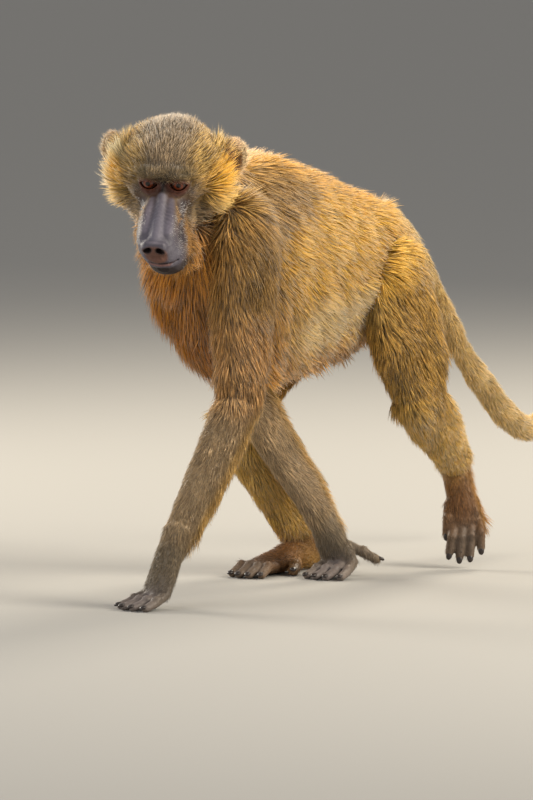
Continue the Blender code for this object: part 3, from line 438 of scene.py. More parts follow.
def hand_flesh(bm, wrist, knuckle, fingers, side, thumb=None):
    ahead, wide = flat_ways(fingers - knuckle)
    limb(bm, [
        (wrist + (wrist - knuckle) * 0.30, 0.0145, 0.0130),
        (wrist, 0.0148, 0.0122),
        (toward(wrist, knuckle, 0.5), 0.0180, 0.0110),
        (knuckle, 0.0205, 0.0094),
    ], across=wide, depth=PALM_DEPTH)
    fan(bm, knuckle, ahead, wide, (fingers - knuckle).length, side, HAND_DIGITS)
    if not thumb:
        root = toward(wrist, knuckle, 0.55) - wide * 0.012 * side
        end = root - wide * 0.013 * side - ahead * 0.010
        end.z = max(0.0060, root.z - 0.016)
        thumb = [root, toward(root, end, 0.5), end]
    digit(bm, thumb, HAND_THUMB)


def planted_foot(bm):
    limb(bm, [
        (R_ANKLE + (R_KNEE - R_ANKLE) * 0.10, 0.0140, 0.0145),
        (R_ANKLE, 0.0140, 0.0160),
        (R_HEEL + Vector((0, -0.006, 0.004)), 0.0130, 0.0150),
    ], depth=ANKLE_DEPTH)
    limb(bm, [
        (R_HEEL, 0.0120, 0.0125),
        (toward(R_HEEL, R_BALL, 0.35) + Vector((0, 0, 0.006)), 0.0135, 0.0155),
        (toward(R_HEEL, R_BALL, 0.70) + Vector((0, 0, 0.002)), 0.0155, 0.0125),
        (R_BALL, 0.0175, 0.0100),
    ], depth=PALM_DEPTH)
    ahead, wide = flat_ways(R_TOES - R_BALL)
    fan(bm, R_BALL, ahead, wide, FOOT_REACH, -1, FOOT_DIGITS)
    great = toward(R_HEEL, R_BALL, 0.52) + wide * 0.012
    end = great + wide * 0.013 + ahead * 0.030
    end.z = 0.0055
    digit(bm, [great, toward(great, end, 0.5), end], FOOT_THUMB)


def lifted_foot(bm):
    down = (L_BALL - L_ANKLE).normalized()
    wide = (LIFTED_ACROSS - down * LIFTED_ACROSS.dot(down)).normalized()
    face = wide.cross(down).normalized()
    if face.y > 0:
        face = -face
    limb(bm, [
        (L_ANKLE + (L_KNEE - L_ANKLE) * 0.10, 0.0145, 0.0145),
        (L_ANKLE, 0.0150, 0.0150),
        (toward(L_ANKLE, L_BALL, 0.40), 0.0155, 0.0125),
        (toward(L_ANKLE, L_BALL, 0.75), 0.0170, 0.0105),
        (L_BALL, 0.0178, 0.0090),
    ], across=wide, depth=ANKLE_DEPTH)
    ball(bm, L_ANKLE - face * 0.011 + Vector((0, 0, -0.004)), (0.0118, 0.0112, 0.0118))
    way = (L_TOES - L_BALL).normalized()
    for k, share in enumerate(LIFTED_LENGTHS):
        root = L_BALL + wide * (k - 1.5) * 0.0090
        reach = (L_TOES - L_BALL).length * share
        tip = root + way * reach + wide * (k - 1.5) * 0.0020 - face * 0.004
        bend = toward(root, tip, 0.45) + face * 0.0035
        digit(bm, [root, bend, tip], LIFTED_TOE, face)
    great = toward(L_ANKLE, L_BALL, 0.62) - wide * 0.013
    end = great - wide * 0.009 + down * 0.030 - face * 0.003
    digit(bm, [great, toward(great, end, 0.5) + face * 0.002, end], LIFTED_THUMB, face)


# Head, in its own frame: fields of distance, blended softly and then made a surface.
# Bars along y are rows of (y, width, height, z).
HEAD_LOW = (-0.080, -0.124, -0.078)
HEAD_HIGH = (0.080, 0.080, 0.050)
MUZZLE = (
    (-0.012, 0.0300, 0.0270, -0.0230),
    (-0.036, 0.0226, 0.0230, -0.0270),
    (-0.055, 0.0212, 0.0204, -0.0325),
    (-0.075, 0.0212, 0.0178, -0.0355),
    (-0.092, 0.0202, 0.0154, -0.0377),
    (-0.104, 0.0172, 0.0128, -0.0395),
    (-0.1115, 0.0122, 0.0090, -0.0400),
    (-0.1155, 0.0050, 0.0035, -0.0400),
)
JAW = (
    (0.010, 0.0280, 0.0190, -0.0440),
    (-0.030, 0.0238, 0.0155, -0.0510),
    (-0.062, 0.0226, 0.0124, -0.0560),
    (-0.088, 0.0188, 0.0104, -0.0575),
    (-0.101, 0.0135, 0.0085, -0.0570),
    (-0.1080, 0.0050, 0.0040, -0.0555),
)
CHEEK = (
    (0.000, 0.0240, 0.0170, -0.0440),
    (-0.040, 0.0224, 0.0140, -0.0460),
    (-0.065, 0.0218, 0.0112, -0.0472),
    (-0.086, 0.0197, 0.0080, -0.0480),
    (-0.098, 0.0150, 0.0050, -0.0480),
    (-0.105, 0.0060, 0.0030, -0.0480),
)
# Each bar's squareness, and how softly it joins
BARS = ((MUZZLE, 2.7, 0.010), (JAW, 2.6, 0.006), (CHEEK, 2.6, 0.006))
# The jaw is set to the animal's left and wider there, below and in front of these places
JAW_ASIDE = 0.0092
JAW_WIDER = 0.14
JAW_TOP = -0.034
JAW_REAR = -0.045
JAW_FADE = 0.028
NOSTRIL = (0.0062, -0.1170, -0.0328)
NOSTRIL_TURN = np.array(Matrix.Rotation(math.radians(28), 3, "Y"))
MOUTH = (
    (0.0, -0.1150, -0.0478),
    (0.0085, -0.1120, -0.0481),
    (0.0146, -0.1020, -0.0482),
    (0.0198, -0.0870, -0.0476),
    (0.0229, -0.0690, -0.0462),
)
LIP_RADII = (0.0028, 0.0028, 0.0026, 0.0022, 0.0012)
EAR_TURN = np.array(Matrix.Rotation(math.radians(38), 3, "Z") @ Matrix.Rotation(math.radians(-8), 3, "X"))
CREASE_DEEP = 0.00022
CREASE_APART = 0.0046


def ear_point(out, back, up):
    return (EAR[0] + out, EAR[1] + back, EAR[2] + up)


EAR_HOLLOW = ear_point(0.0045, -0.0068, 0.0015)


def blend(a, b, soft):
    """The union of two fields, rounded where they meet."""
    h = np.clip(0.5 + 0.5 * (b - a) / soft, 0, 1)
    return b + (a - b) * h - soft * h * (1 - h)


def carve(a, b, soft):
    """The first field without the second, rounded where they meet."""
    return -blend(-a, b, soft)


def oval(p, centre, radii, turn=None):
    """An ellipsoid's field, nearly a distance."""
    q = [p[k] - centre[k] for k in range(3)]
    if turn is not None:
        q = [sum(q[j] * turn[j][k] for j in range(3)) for k in range(3)]
    near = np.sqrt(sum((q[k] / radii[k]) ** 2 for k in range(3)))
    steep = np.sqrt(sum((q[k] / radii[k] ** 2) ** 2 for k in range(3))) + 1e-6
    return near * (near - 1) / steep


def cord(p, path, radii):
    """A round bar through points; each point has its own radius."""
    best = None
    for k in range(len(path) - 1):
        a, b = np.array(path[k]), np.array(path[k + 1])
        line = b - a
        q = [p[j] - a[j] for j in range(3)]
        t = np.clip(sum(q[j] * line[j] for j in range(3)) / (line @ line), 0, 1)
        away = np.sqrt(sum((q[j] - t * line[j]) ** 2 for j in range(3)))
        away = away - (radii[k] + (radii[k + 1] - radii[k]) * t)
        best = away if best is None else np.minimum(best, away)
    return best


def loft(p, rows, power):
    """A bar along y whose cut is a squarish oval, from rows of (y, width, height, z)."""
    rows = smooth_path(rows, 6)[::-1]
    y = np.clip(p[1], rows[0, 0], rows[-1, 0])
    wide, tall, middle = (np.interp(y, rows[:, 0], rows[:, k]) for k in (1, 2, 3))
    cut = (np.abs(p[0]) / wide) ** power + (np.abs(p[2] - middle) / tall) ** power
    flat = (cut ** (1 / power) - 1) * np.minimum(wide, tall)
    past = np.abs(p[1] - y)
    return np.where(past > 0, np.maximum(flat, past), flat)


def joined(p, field, forms):
    """The field with each form, a row of (shape, place, radii, softness), blended in."""
    for shape, place, radii, soft in forms:
        field = blend(field, shape(p, place, radii), soft)
    return field


def unskewed(p):
    """The points with the jaw set back under the nose, and x made positive."""
    low = np.clip((JAW_TOP - p[2]) / JAW_FADE, 0, 1) * np.clip((JAW_REAR - p[1]) / JAW_FADE, 0, 1)
    x = p[0] - JAW_ASIDE * low
    return [np.abs(np.where(x > 0, x / (1 + JAW_WIDER * low), x)), p[1], p[2]]


# Brow, back of the head, cheek, corner of the jaw
SKULL_FORMS = (
    (oval, (0, -0.010, 0.003), (0.0360, 0.0310, 0.0225), 0.012),
    (oval, (0, 0.034, -0.020), (0.0370, 0.0320, 0.0340), 0.015),
    (oval, (0.032, 0.003, -0.022), (0.0215, 0.0250, 0.0300), 0.014),
    (oval, (0.021, -0.002, -0.046), (0.0180, 0.0250, 0.0180), 0.012),
)
# Ridge of the brow, cheekbone, bridge of the nose, ridge beside it
RIDGE_FORMS = (
    (cord, ((0, -0.0405, 0.0080), (0.014, -0.0430, 0.0094), (0.027, -0.0335, 0.0050)),
     (0.0042, 0.0052, 0.0036), 0.006),
    (cord, ((0.0120, -0.0440, -0.0185), (0.0240, -0.0380, -0.0160), (0.0330, -0.0220, -0.0110)),
     (0.0045, 0.0060, 0.0070), 0.008),
    (cord, ((0, -0.0400, -0.0035), (0, -0.0680, -0.0165), (0, -0.1040, -0.0262)),
     (0.0044, 0.0044, 0.0056), 0.006),
    (cord, ((0.0085, -0.0500, -0.0135), (0.0128, -0.0700, -0.0190), (0.0112, -0.0960, -0.0280)),
     (0.0036, 0.0050, 0.0036), 0.005),
)
# Nose pad, wing of the nostril, upper rim, chin
NOSE_FORMS = (
    (oval, (0, -0.1090, -0.0325), (0.0112, 0.0088, 0.0082), 0.004),
    (oval, (0.0074, -0.1120, -0.0325), (0.0054, 0.0052, 0.0062), 0.0025),
    (cord, ((0, -0.1135, -0.0262), (0.0080, -0.1125, -0.0275), (0.0118, -0.1080, -0.0320)),
     (0.0016, 0.0018, 0.0014), 0.0020),
    (oval, (0, -0.0970, -0.0592), (0.0118, 0.0110, 0.0088), 0.006),
)
# Lid over the ball, and the bag under it
LID_FORMS = (
    (oval, EYE_AT, (EYE_RADIUS + 0.0015,) * 3, 0.0024),
    (cord, ((0.0075, -0.0462, -0.0090), (0.0145, -0.0480, -0.0105), (0.0215, -0.0440, -0.0082)),
     (0.0012, 0.0017, 0.0012), 0.0022),
)
LID_FOLD = ((0.0075, -0.0455, 0.0045), (0.0150, -0.0480, 0.0062), (0.0220, -0.0440, 0.0040))
ORBIT_HOLLOW = (EYE_APART, -EYE_OUT - 0.0125, EYE_UP - 0.0010)
NOSTRIL_HOLE = ((0.0062, -0.1150, -0.0325), (0.0056, -0.1060, -0.0315))
EAR_STALK = ((0.0350, 0.0200, -0.0120), ear_point(-0.006, -0.002, 0))


def beside_mouth(scale, back, up):
    """The line of the mouth, narrowed and moved."""
    return [(x * scale, y + back, z + up) for x, y, z in MOUTH]


def with_creases(p, field):
    """Fine creases across the ridge of the nose and down the muzzle's side."""
    amount = np.clip(1 - np.abs(p[1] + 0.074) / 0.022, 0, 1) * np.clip((p[2] + 0.032) / 0.010, 0, 1)
    return field + CREASE_DEEP * amount * np.sin(2 * math.pi * (p[1] + 0.5 * p[0]) / CREASE_APART)


def with_lips(p, field):
    field = joined(p, field, (
        (cord, beside_mouth(0.99, 0.0004, 0.0030), LIP_RADII, 0.004),
        (cord, beside_mouth(0.95, 0.0026, -0.0032), LIP_RADII, 0.004),
    ))
    line = beside_mouth(1.03, -0.0006, 0.0)
    return carve(field, cord(p, line, (0.0013, 0.0013, 0.0013, 0.0012, 0.0009)), 0.0012)


def lid_opening(p):
    """The field of the almond between the lids, for points with x made positive."""
    u = p[0] - EYE_APART
    v = p[2] - EYE_UP + 0.0004 - 0.06 * u
    upper = np.sqrt(u * u + (v + 0.0058) ** 2) - 0.0107
    lower = np.sqrt(u * u + (v - 0.0060) ** 2) - 0.0108
    return np.maximum(np.maximum(upper, lower), p[1] + EYE_OUT + 0.0010)


def with_lids(p, field):
    """Hollow of the orbit, then the lids over the ball and their opening."""
    field = carve(field, oval(p, ORBIT_HOLLOW, (0.0118, 0.0075, 0.0072)), 0.004)
    field = joined(p, field, LID_FORMS)
    field = carve(field, cord(p, LID_FOLD, (0.0006, 0.0008, 0.0006)), 0.0012)
    field = carve(field, lid_opening(p), 0.0007)
    return np.maximum(field, -oval(p, EYE_AT, (EYE_RADIUS + 0.0001,) * 3))


def with_nostrils(p, field):
    """Nostrils that open forward in the pad."""
    field = carve(field, oval(p, NOSTRIL, (0.0044, 0.0052, 0.0026), NOSTRIL_TURN), 0.0010)
    return carve(field, cord(p, NOSTRIL_HOLE, (0.0019, 0.0012)), 0.0008)


def with_ears(p, field):
    """A cupped shell that leans back, on a stalk."""
    field = blend(field, cord(p, EAR_STALK, (0.0090, 0.0065)), 0.006)
    field = blend(field, oval(p, EAR, (0.0150, 0.0068, 0.0200), EAR_TURN), 0.004)
    return carve(field, oval(p, EAR_HOLLOW, (0.0104, 0.0080, 0.0152), EAR_TURN), 0.0016)


def head_field(p):
    """Skull, brow, lids, muzzle, jaw and ears, for points of the head's frame."""
    p = unskewed(p)
    field = oval(p, (0, 0.010, 0.001), (0.0420, 0.0480, 0.0318))
    field = joined(p, field, SKULL_FORMS)
    for rows, power, soft in BARS:
        field = blend(field, loft(p, rows, power), soft)
    field = joined(p, field, RIDGE_FORMS)
    field = joined(p, with_creases(p, field), NOSE_FORMS)
    for form in (with_lips, with_lids, with_nostrils, with_ears):
        field = form(p, field)
    return field


# Muzzle, nose, orbit, space between the eyes, and under the eye, without hair
BARE = (
    (cord, ((0, -0.058, -0.034), (0, -0.116, -0.046)), (0.0225, 0.0270)),
    (cord, ((0, -0.048, -0.014), (0, -0.085, -0.022)), (0.0135, 0.0190)),
    (oval, (EYE_APART, -0.046, -0.0045), (0.0125, 0.0130, 0.0088)),
    (oval, (0, -0.047, -0.0090), (0.0110, 0.0130, 0.0105)),
    (oval, (0.0175, -0.050, -0.0215), (0.0115, 0.0150, 0.0110)),
)


def bare_field(p):
    """How far a point lies outside the bare face (below zero on it)."""
    return np.minimum.reduce([shape(p, place, radii) for shape, place, radii in BARE])


def surface_net(field, low, step):
    """The zero surface of a field on a grid, as points and quads."""
    inside = field < 0
    offsets = np.array([(i, j, k) for i in (0, 1) for j in (0, 1) for k in (0, 1)])
    count = np.zeros(tuple(n - 1 for n in field.shape), np.int8)
    for i, j, k in offsets:
        count += inside[i : i + count.shape[0], j : j + count.shape[1], k : k + count.shape[2]]
    cells = np.argwhere((count > 0) & (count < 8))
    near = cells[:, None] + offsets[None]
    value = field[near[..., 0], near[..., 1], near[..., 2]]
    total = np.zeros((len(cells), 3))
    hits = np.zeros(len(cells))
    for a in range(8):
        for b in range(a + 1, 8):
            if np.abs(offsets[a] - offsets[b]).sum() != 1:
                continue
            crossed = (value[:, a] < 0) != (value[:, b] < 0)
            t = value[:, a] / np.where(crossed, value[:, a] - value[:, b], 1)
            spot = offsets[a] + (offsets[b] - offsets[a]) * t[:, None]
            total += np.where(crossed[:, None], spot, 0)
            hits += crossed
    points = np.array(low) + step * (cells + total / hits[:, None])
    number = np.full(count.shape, -1)
    number[tuple(cells.T)] = np.arange(len(cells))
    quads = []
    for axis in range(3):
        first = np.take(inside, range(field.shape[axis] - 1), axis)
        second = np.take(inside, range(1, field.shape[axis]), axis)
        edges = np.argwhere(first != second)
        one, two = np.eye(3, dtype=int)[[(axis + 1) % 3, (axis + 2) % 3]]
        moves = (0 * one, one, one + two, two)
        ring = np.stack([number[tuple((edges - move).T)] for move in moves], axis=1)
        leaving = first[tuple(edges.T)]
        ring[~leaving] = ring[~leaving][:, ::-1]
        quads.append(ring)
    return points, np.concatenate(quads)


def head_skin():
    axes = [np.arange(a, b, HEAD_STEP, dtype=np.float32) for a, b in zip(HEAD_LOW, HEAD_HIGH)]
    grid = np.meshgrid(*axes, indexing="ij", sparse=True)
    points, quads = surface_net(head_field(grid), HEAD_LOW, HEAD_STEP)
    head = from_points("head", points.tolist(), quads.tolist())
    head.data.transform(Matrix.Translation(SKULL) @ HEAD_TURN.to_4x4())
    thin = head.modifiers.new("Thin", "DECIMATE")
    thin.ratio = HEAD_KEPT
    settle(head)
    return head


def make_skin():
    """Trunk, limbs and tail fused in one skin, with the head joined on."""
    bm = bmesh.new()
    trunk_flesh(bm)
    for arm in ARMS:
        arm_flesh(bm, *arm)
    for leg in LEGS:
        leg_flesh(bm, *leg)
    hand_flesh(bm, L_WRIST, L_KNUCKLE, L_FINGERS, 1)
    hand_flesh(bm, R_WRIST, R_KNUCKLE, R_FINGERS, -1, R_THUMB)
    planted_foot(bm)
    lifted_foot(bm)
    skin = show(bm, "skin")
    fuse = skin.modifiers.new("Fuse", "REMESH")
    fuse.mode = "VOXEL"
    fuse.voxel_size = VOXEL
    soften = skin.modifiers.new("Soften", "SMOOTH")
    soften.factor = 0.5
    soften.iterations = 5
    settle(skin)
    thin = skin.modifiers.new("Thin", "DECIMATE")
    thin.ratio = min(1.0, SKIN_FACES / (2 * len(skin.data.polygons)))
    settle(skin)
    head = head_skin()
    join = skin.modifiers.new("Join", "BOOLEAN")
    join.operation = "UNION"
    join.solver = "MANIFOLD"
    join.object = head
    settle(skin)
    bpy.data.objects.remove(head)
    above_floor(skin, FLOOR_GAP - SHIFT.z)
    return skin


# Colours as seen, on a scale of 255
GOLD = (244, 192, 72)
PALE = (255, 218, 140)
OLIVE = (156, 122, 68)
GREY_OLIVE = (194, 166, 128)
CHEST = (186, 124, 36)
CROWN = (148, 126, 96)
SHIN = (255, 208, 104)
TAIL_TONE = (255, 214, 132)
FOOT_TONE = (148, 102, 58)
TOE_TONE = (112, 96, 82)
HAND_TONE = (118, 108, 104)
WRIST_TONE = (136, 120, 96)
STUBBLE_TONE = (178, 174, 172)
NAIL_TONE = (44, 36, 34)


def tone(red, green, blue):
    """A colour as seen, in the units the shader works in."""
    seen = np.array((red, green, blue)) / 255.0
    return np.where(seen <= 0.04045, seen / 12.92, ((seen + 0.055) / 1.055) ** 2.4)


# Patches of the coat: start, end, reach, colour, length, lift, density, lie.
# One that starts on the left side is mirrored. Those of the head are in its own frame.
TRUNK_PATCHES = (
    ((0, -0.08, 0.440), (0, 0.15, 0.390), 0.030, (206, 156, 70), 0.026, 0.30, 1.0, (0, 0.95, -0.22)),
    ((0.040, -0.12, 0.400), (0.045, -0.05, 0.405), 0.030, OLIVE, 0.027, 0.28, 1.0, (0.1, 0.70, -0.62)),
    ((0.060, -0.03, 0.350), (0.055, 0.12, 0.335), 0.036, GOLD, 0.026, 0.26, 1.0, (0, 0.80, -0.55)),
    ((0.056, -0.030, 0.268), (0.054, 0.070, 0.290), 0.017, PALE, 0.026, 0.30, 1.0, (0, 0.82, -0.50)),
    ((0, -0.08, 0.205), (0, 0.13, 0.235), 0.030, (196, 140, 42), 0.026, 0.42, 1.0, (0, 0.80, -0.55)),
    ((0, -0.18, 0.350), (0, -0.14, 0.240), 0.040, CHEST, 0.030, 0.36, 1.0, (0, 0.30, -0.95)),
    ((0.030, 0.185, 0.350), (0.030, 0.200, 0.300), 0.028, (230, 184, 104), 0.020, 0.28, 1.0,
     (0.2, 0.5, -0.8)),
)
# Crown, temple, ruff (gold, its upper edge, its right side pale as painted rim light, below), cheek,
# under the eye, throat, nape, ear and its rim pale as painted rim light, brow dark as painted shade, inner
# corner of the cheek
HEAD_PATCHES = (
    ((0, -0.034, 0.020), (0, 0.035, 0.030), 0.026, CROWN, 0.0085, 0.42, 1.3, (0, 0.95, 0.1)),
    ((0.030, -0.022, 0.012), (0.034, 0.020, 0.012), 0.018, (170, 136, 66), 0.011, 0.42, 1.2,
     (0.5, 0.80, 0.1)),
    ((0.044, -0.010, -0.008), (0.046, 0.010, -0.018), 0.014, (242, 180, 30), 0.018, 0.42, 1.2,
     (0.45, 0.80, 0.25)),
    ((0.042, 0.002, 0.014), (0.048, 0.014, 0.004), 0.010, (240, 200, 116), 0.018, 0.60, 1.2,
     (0.60, 0.50, 0.45)),
    # Right side of the ruff: pale, as painted rim light
    ((-0.049, -0.006, 0.004), (-0.050, 0.006, -0.026), 0.014, (255, 232, 176), 0.021, 0.62, 1.2,
     (-0.55, 0.60, 0.30)),
    ((0.040, -0.006, -0.034), (0.040, 0.012, -0.040), 0.016, (236, 194, 100), 0.020, 0.45, 1.1,
     (0.55, 0.75, -0.25)),
    ((0.026, -0.024, -0.044), (0.030, -0.004, -0.056), 0.016, (176, 150, 112), 0.012, 0.30, 1.0,
     (0.35, 0.80, -0.30)),
    ((0.026, -0.030, -0.018), (0.026, -0.034, -0.036), 0.010, (84, 66, 44), 0.006, 0.25, 1.2,
     (0.5, 0.80, -0.20)),
    ((0, -0.020, -0.066), (0, 0.010, -0.062), 0.018, (196, 146, 84), 0.020, 0.40, 1.0, (0, 0.75, -0.55)),
    ((0, 0.055, 0.004), (0, 0.060, -0.030), 0.026, (170, 130, 62), 0.018, 0.36, 1.1, (0, 0.9, -0.3)),
    (ear_point(0.003, 0, -0.014), ear_point(0.003, 0, 0.014), 0.012, (220, 184, 140), 0.0055, 0.45, 1.6,
     (0.55, 0.45, 0.40)),
    # Rim of the ear: paler, as painted rim light
    (ear_point(0.011, 0.004, -0.010), ear_point(0.011, 0.004, 0.012), 0.005, (236, 206, 158), 0.0070,
     0.60, 1.4, (0.70, 0.50, 0.40)),
    # Brow: dark band, as painted shade above the eyes
    ((-0.020, -0.041, 0.0105), (0.020, -0.041, 0.0105), 0.0075, (116, 98, 64), 0.0070, 0.34, 2.4,
     (0, 0.5, 0.8)),
    ((0.0270, -0.038, -0.002), (0.0255, -0.040, -0.014), 0.0050, (92, 70, 46), 0.0060, 0.30, 2.2,
     (0.6, 0.7, -0.1)),
)


def placed(rows, place=Vector, turn=Matrix.Identity(3)):
    """Patches put in the model's frame, those of the left side with their mirror image."""
    for a, b, *coat, lie in rows:
        for side in (1, -1) if a[0] > 0 else (1,):
            flip = Vector((side, 1, 1))
            yield (place(Vector(a) * flip), place(Vector(b) * flip), *coat, turn @ (Vector(lie) * flip))


def lie_along(a, b, back=0.0):
    """The way from a to b, turned a little toward the rear."""
    return (b - a).normalized() + Vector((0, back, 0))


def arm_patches(shoulder, elbow, wrist):
    down = lie_along(shoulder, elbow, 0.35)
    yield shoulder, toward(shoulder, elbow, 0.25), 0.034, OLIVE, 0.022, 0.26, 1.0, down
    ends = toward(shoulder, elbow, 0.5), toward(shoulder, elbow, 0.9)
    yield *ends, 0.030, (192, 148, 92), 0.020, 0.26, 1.0, down
    ends = elbow, toward(elbow, wrist, 0.92)
    yield *ends, 0.020, GREY_OLIVE, 0.0100, 0.24, 1.5, lie_along(elbow, wrist, 0.15)
    rear = Vector((0, 0.022, -0.006))
    ends = elbow + rear, toward(elbow, wrist, 0.7) + rear
    yield *ends, 0.012, GOLD, 0.018, 0.36, 1.2, lie_along(elbow, wrist, 0.7)
    # Edge toward +x on both arms: paler tufts as painted rim light
    edge = Vector((0.014, 0.015, 0.0))
    ends = elbow + edge, toward(elbow, wrist, 1.0) + edge
    yield *ends, 0.007, (244, 196, 112), 0.0110, 0.42, 1.5, lie_along(elbow, wrist, 0.45)


def leg_patches(thigh, shank):
    hip, bend, knee, ankle = (Vector(row[0]) for row in (thigh[0], thigh[-1], shank[0], shank[-1]))
    yield hip, bend, 0.036, (174, 136, 66), 0.019, 0.26, 1.0, lie_along(hip, knee, 0.30)
    yield knee, toward(knee, ankle, 0.85), 0.022, SHIN, 0.014, 0.28, 1.15, lie_along(knee, ankle)


def end_patches():
    """Thin, short hair of the hands and feet."""
    for a, b, *coat in (
        (L_WRIST, L_KNUCKLE, 0.016, WRIST_TONE, 0.007, 0.20, 1.4),
        (R_WRIST, R_KNUCKLE, 0.016, WRIST_TONE, 0.007, 0.20, 1.4),
        (L_KNUCKLE, L_FINGERS, 0.016, HAND_TONE, 0.004, 0.12, 0.30),
        (R_KNUCKLE, R_FINGERS, 0.016, HAND_TONE, 0.004, 0.12, 0.30),
        (L_ANKLE, L_BALL, 0.018, FOOT_TONE, 0.008, 0.20, 1.1),
    ):
        yield a, b, *coat, lie_along(a, b)
    # Edge of the lifted foot: golden tufts as painted rim light
    edge = Vector((0.012, 0.012, 0.0))
    down = lie_along(L_ANKLE, L_BALL)
    yield L_ANKLE + edge, L_BALL + edge, 0.008, (232, 172, 86), 0.0105, 0.48, 1.5, down
    yield L_BALL, L_TOES, 0.018, TOE_TONE, 0.005, 0.14, 0.5, lie_along(L_BALL, L_TOES)
    yield R_ANKLE, R_BALL, 0.018, FOOT_TONE, 0.008, 0.20, 1.1, lie_along(R_HEEL, R_BALL)
    yield R_BALL, R_TOES, 0.016, TOE_TONE, 0.004, 0.14, 0.4, lie_along(R_BALL, R_TOES)


def patches():
    """Every patch as (start, end, reach, colour, length, lift, density, lie)."""
    yield from placed(TRUNK_PATCHES)
    for arm in ARMS:
        yield from arm_patches(*arm)
    for leg in LEGS:
        yield from leg_patches(*leg)
    spine = [Vector(row[:3]) for row in TAIL[1:]]
    for a, b in zip(spine, spine[1:]):
        yield a, b, 0.016, TAIL_TONE, 0.011, 0.24, 1.15, lie_along(a, b)
    yield from end_patches()
    yield from placed(HEAD_PATCHES, head_point, HEAD_TURN)


PATCHES = [
    (np.array(a), np.array(b), reach, tone(*colour), np.array(coat), np.array(lie.normalized()))
    for a, b, reach, colour, *coat, lie in patches()
]


def coat_at(points):
    """Colour, (length, lift, density) and lie at each point, blended from the patches."""
    total = np.full(len(points), TINY)
    painted = np.full(len(points), TINY)
    colour = np.zeros((len(points), 3))
    shape = np.zeros((len(points), 3))
    lie = np.zeros((len(points), 3))
    for a, b, reach, shade, coat, way in PATCHES:
        line = b - a
        t = np.clip((points - a) @ line / (line @ line), 0, 1)
        away = np.linalg.norm(points - a - t[:, None] * line, axis=1) / reach
        weight = 1.0 / (1e-4 + away**6)
        total += weight
        soft = 1.0 / (1e-3 + away**4)
        painted += soft
        colour += soft[:, None] * shade
        shape += weight[:, None] * coat
        lie += weight[:, None] * way
    total = total[:, None]
    return colour / painted[:, None], shape / total, lie / total


def in_head(points):
    """Points of the model in the head's own frame."""
    return (points - np.array(SKULL)) @ np.array(HEAD_TURN)


def fade(field, width):
    """1 where a field is below zero, falling softly to 0 over the width."""
    t = np.clip(0.5 - field / width, 0, 1)
    return (t * t * (3 - 2 * t))[:, None]


# Tones of the bare face in turn: shape, place, radii, soft edge, colour, strength.
# Slate muzzle, painted highlight on its bridge and ridge, painted shade at its side and between the eyes,
# brown orbit
ORBIT = ((EYE_APART, -0.046, -0.0015), (0.0125, 0.0140, 0.0085))
MUZZLE_TONES = (
    (cord, ((0, -0.066, -0.030), (0, -0.112, -0.042)), (0.0190, 0.0260), 0.012, (82, 78, 88), 1.0),
    # Bridge and ridge: lighter, as painted highlight on the top of the muzzle
    (cord, ((0, -0.055, -0.008), (0, -0.104, -0.020)), (0.0050, 0.0080), 0.006, (112, 108, 120), 0.7),
    (cord, ((0.010, -0.056, -0.010), (0.0128, -0.094, -0.022)), (0.003, 0.004), 0.005, (118, 112, 124), 0.6),
    # Side of the muzzle: dark, as painted shade in the furrow beside the ridge
    (cord, ((0.020, -0.050, -0.020), (0.0222, -0.080, -0.036)), (0.005, 0.007), 0.007, (40, 34, 42), 0.85),
    # Between the eyes: near black, as painted shade in the hollow under the brow
    (oval, (0, -0.046, 0.0010), (0.0074, 0.0080, 0.0110), 0.005, (16, 8, 6), 0.95),
    (oval, *ORBIT, 0.006, (82, 44, 30), 0.85),
)
# Line under the eye dark as painted shade in its crease, nose pad, painted highlight on its rim
NOSE_TONES = (
    # Crease under the eye: dark line as painted shade
    (cord, ((0.0060, -0.047, -0.0085), (0.0150, -0.050, -0.0090), (0.0230, -0.044, -0.0070)),
     (0.0002,) * 3, 0.0022, (62, 34, 28), 0.6),
    (oval, (0, -0.1160, -0.0375), (0.0132, 0.0070, 0.0095), 0.003, (98, 66, 54), 0.95),
    # Rim of the nose pad: pale, as painted highlight
    (cord, ((0, -0.1135, -0.0255), (0.0090, -0.1120, -0.0275)), (0.0012, 0.0010), 0.003,
     (150, 140, 150), 0.7),
)
# Lower jaw, edge of the lower lip, line of the mouth dark as painted shade in its crease, hollow of the ear
MOUTH_TONES = (
    (cord, ((0, -0.1080, -0.0610), (0.0130, -0.090, -0.0610), (0.0200, -0.070, -0.0600)),
     (0.0095, 0.0090, 0.0070), 0.006, (36, 24, 21), 0.95),
    (cord, beside_mouth(1.0, 0.0, -0.0020), (0.0012, 0.0012, 0.0010, 0.0008, 0.0004), 0.0016,
     (140, 98, 88), 0.7),
    # Line of the mouth: dark, as painted shade in the crease
    (cord, MOUTH, (0.0011,) * 5, 0.0012, (36, 24, 24), 0.9),
    (oval, EAR_HOLLOW, (0.0108, 0.0090, 0.0155), 0.003, (120, 82, 58), 0.9),
)


def face_layers(p):
    """Layers of the bare face, for points of the head's frame: field, soft edge, colour, strength."""

    def formed(rows):
        for shape, place, radii, *look in rows:
            yield shape(p, place, radii), *look

    yield bare_field(p), 0.008, (72, 54, 44), 1.0
    yield from formed(MUZZLE_TONES)
    lid = np.abs(lid_opening([p[0], np.full_like(p[1], -1.0), p[2]])) - 0.0007
    yield np.maximum(lid, oval(p, *ORBIT)), 0.0012, (98, 50, 32), 0.85
    yield from formed(NOSE_TONES)
    # Nostrils: near black, as painted shade in the openings
    yield oval(p, NOSTRIL, (0.0052, 0.0080, 0.0033), NOSTRIL_TURN), 0.0020, (30, 18, 16), 1.0
    yield from formed(MOUTH_TONES)


def paint_face(points, colours):
    """The bare face over the coat's colours."""
    for field, edge, colour, strength in face_layers(unskewed(in_head(points).T)):
        share = fade(field, edge) * strength
        colours = colours * (1 - share) + share * tone(*colour)
    return colours


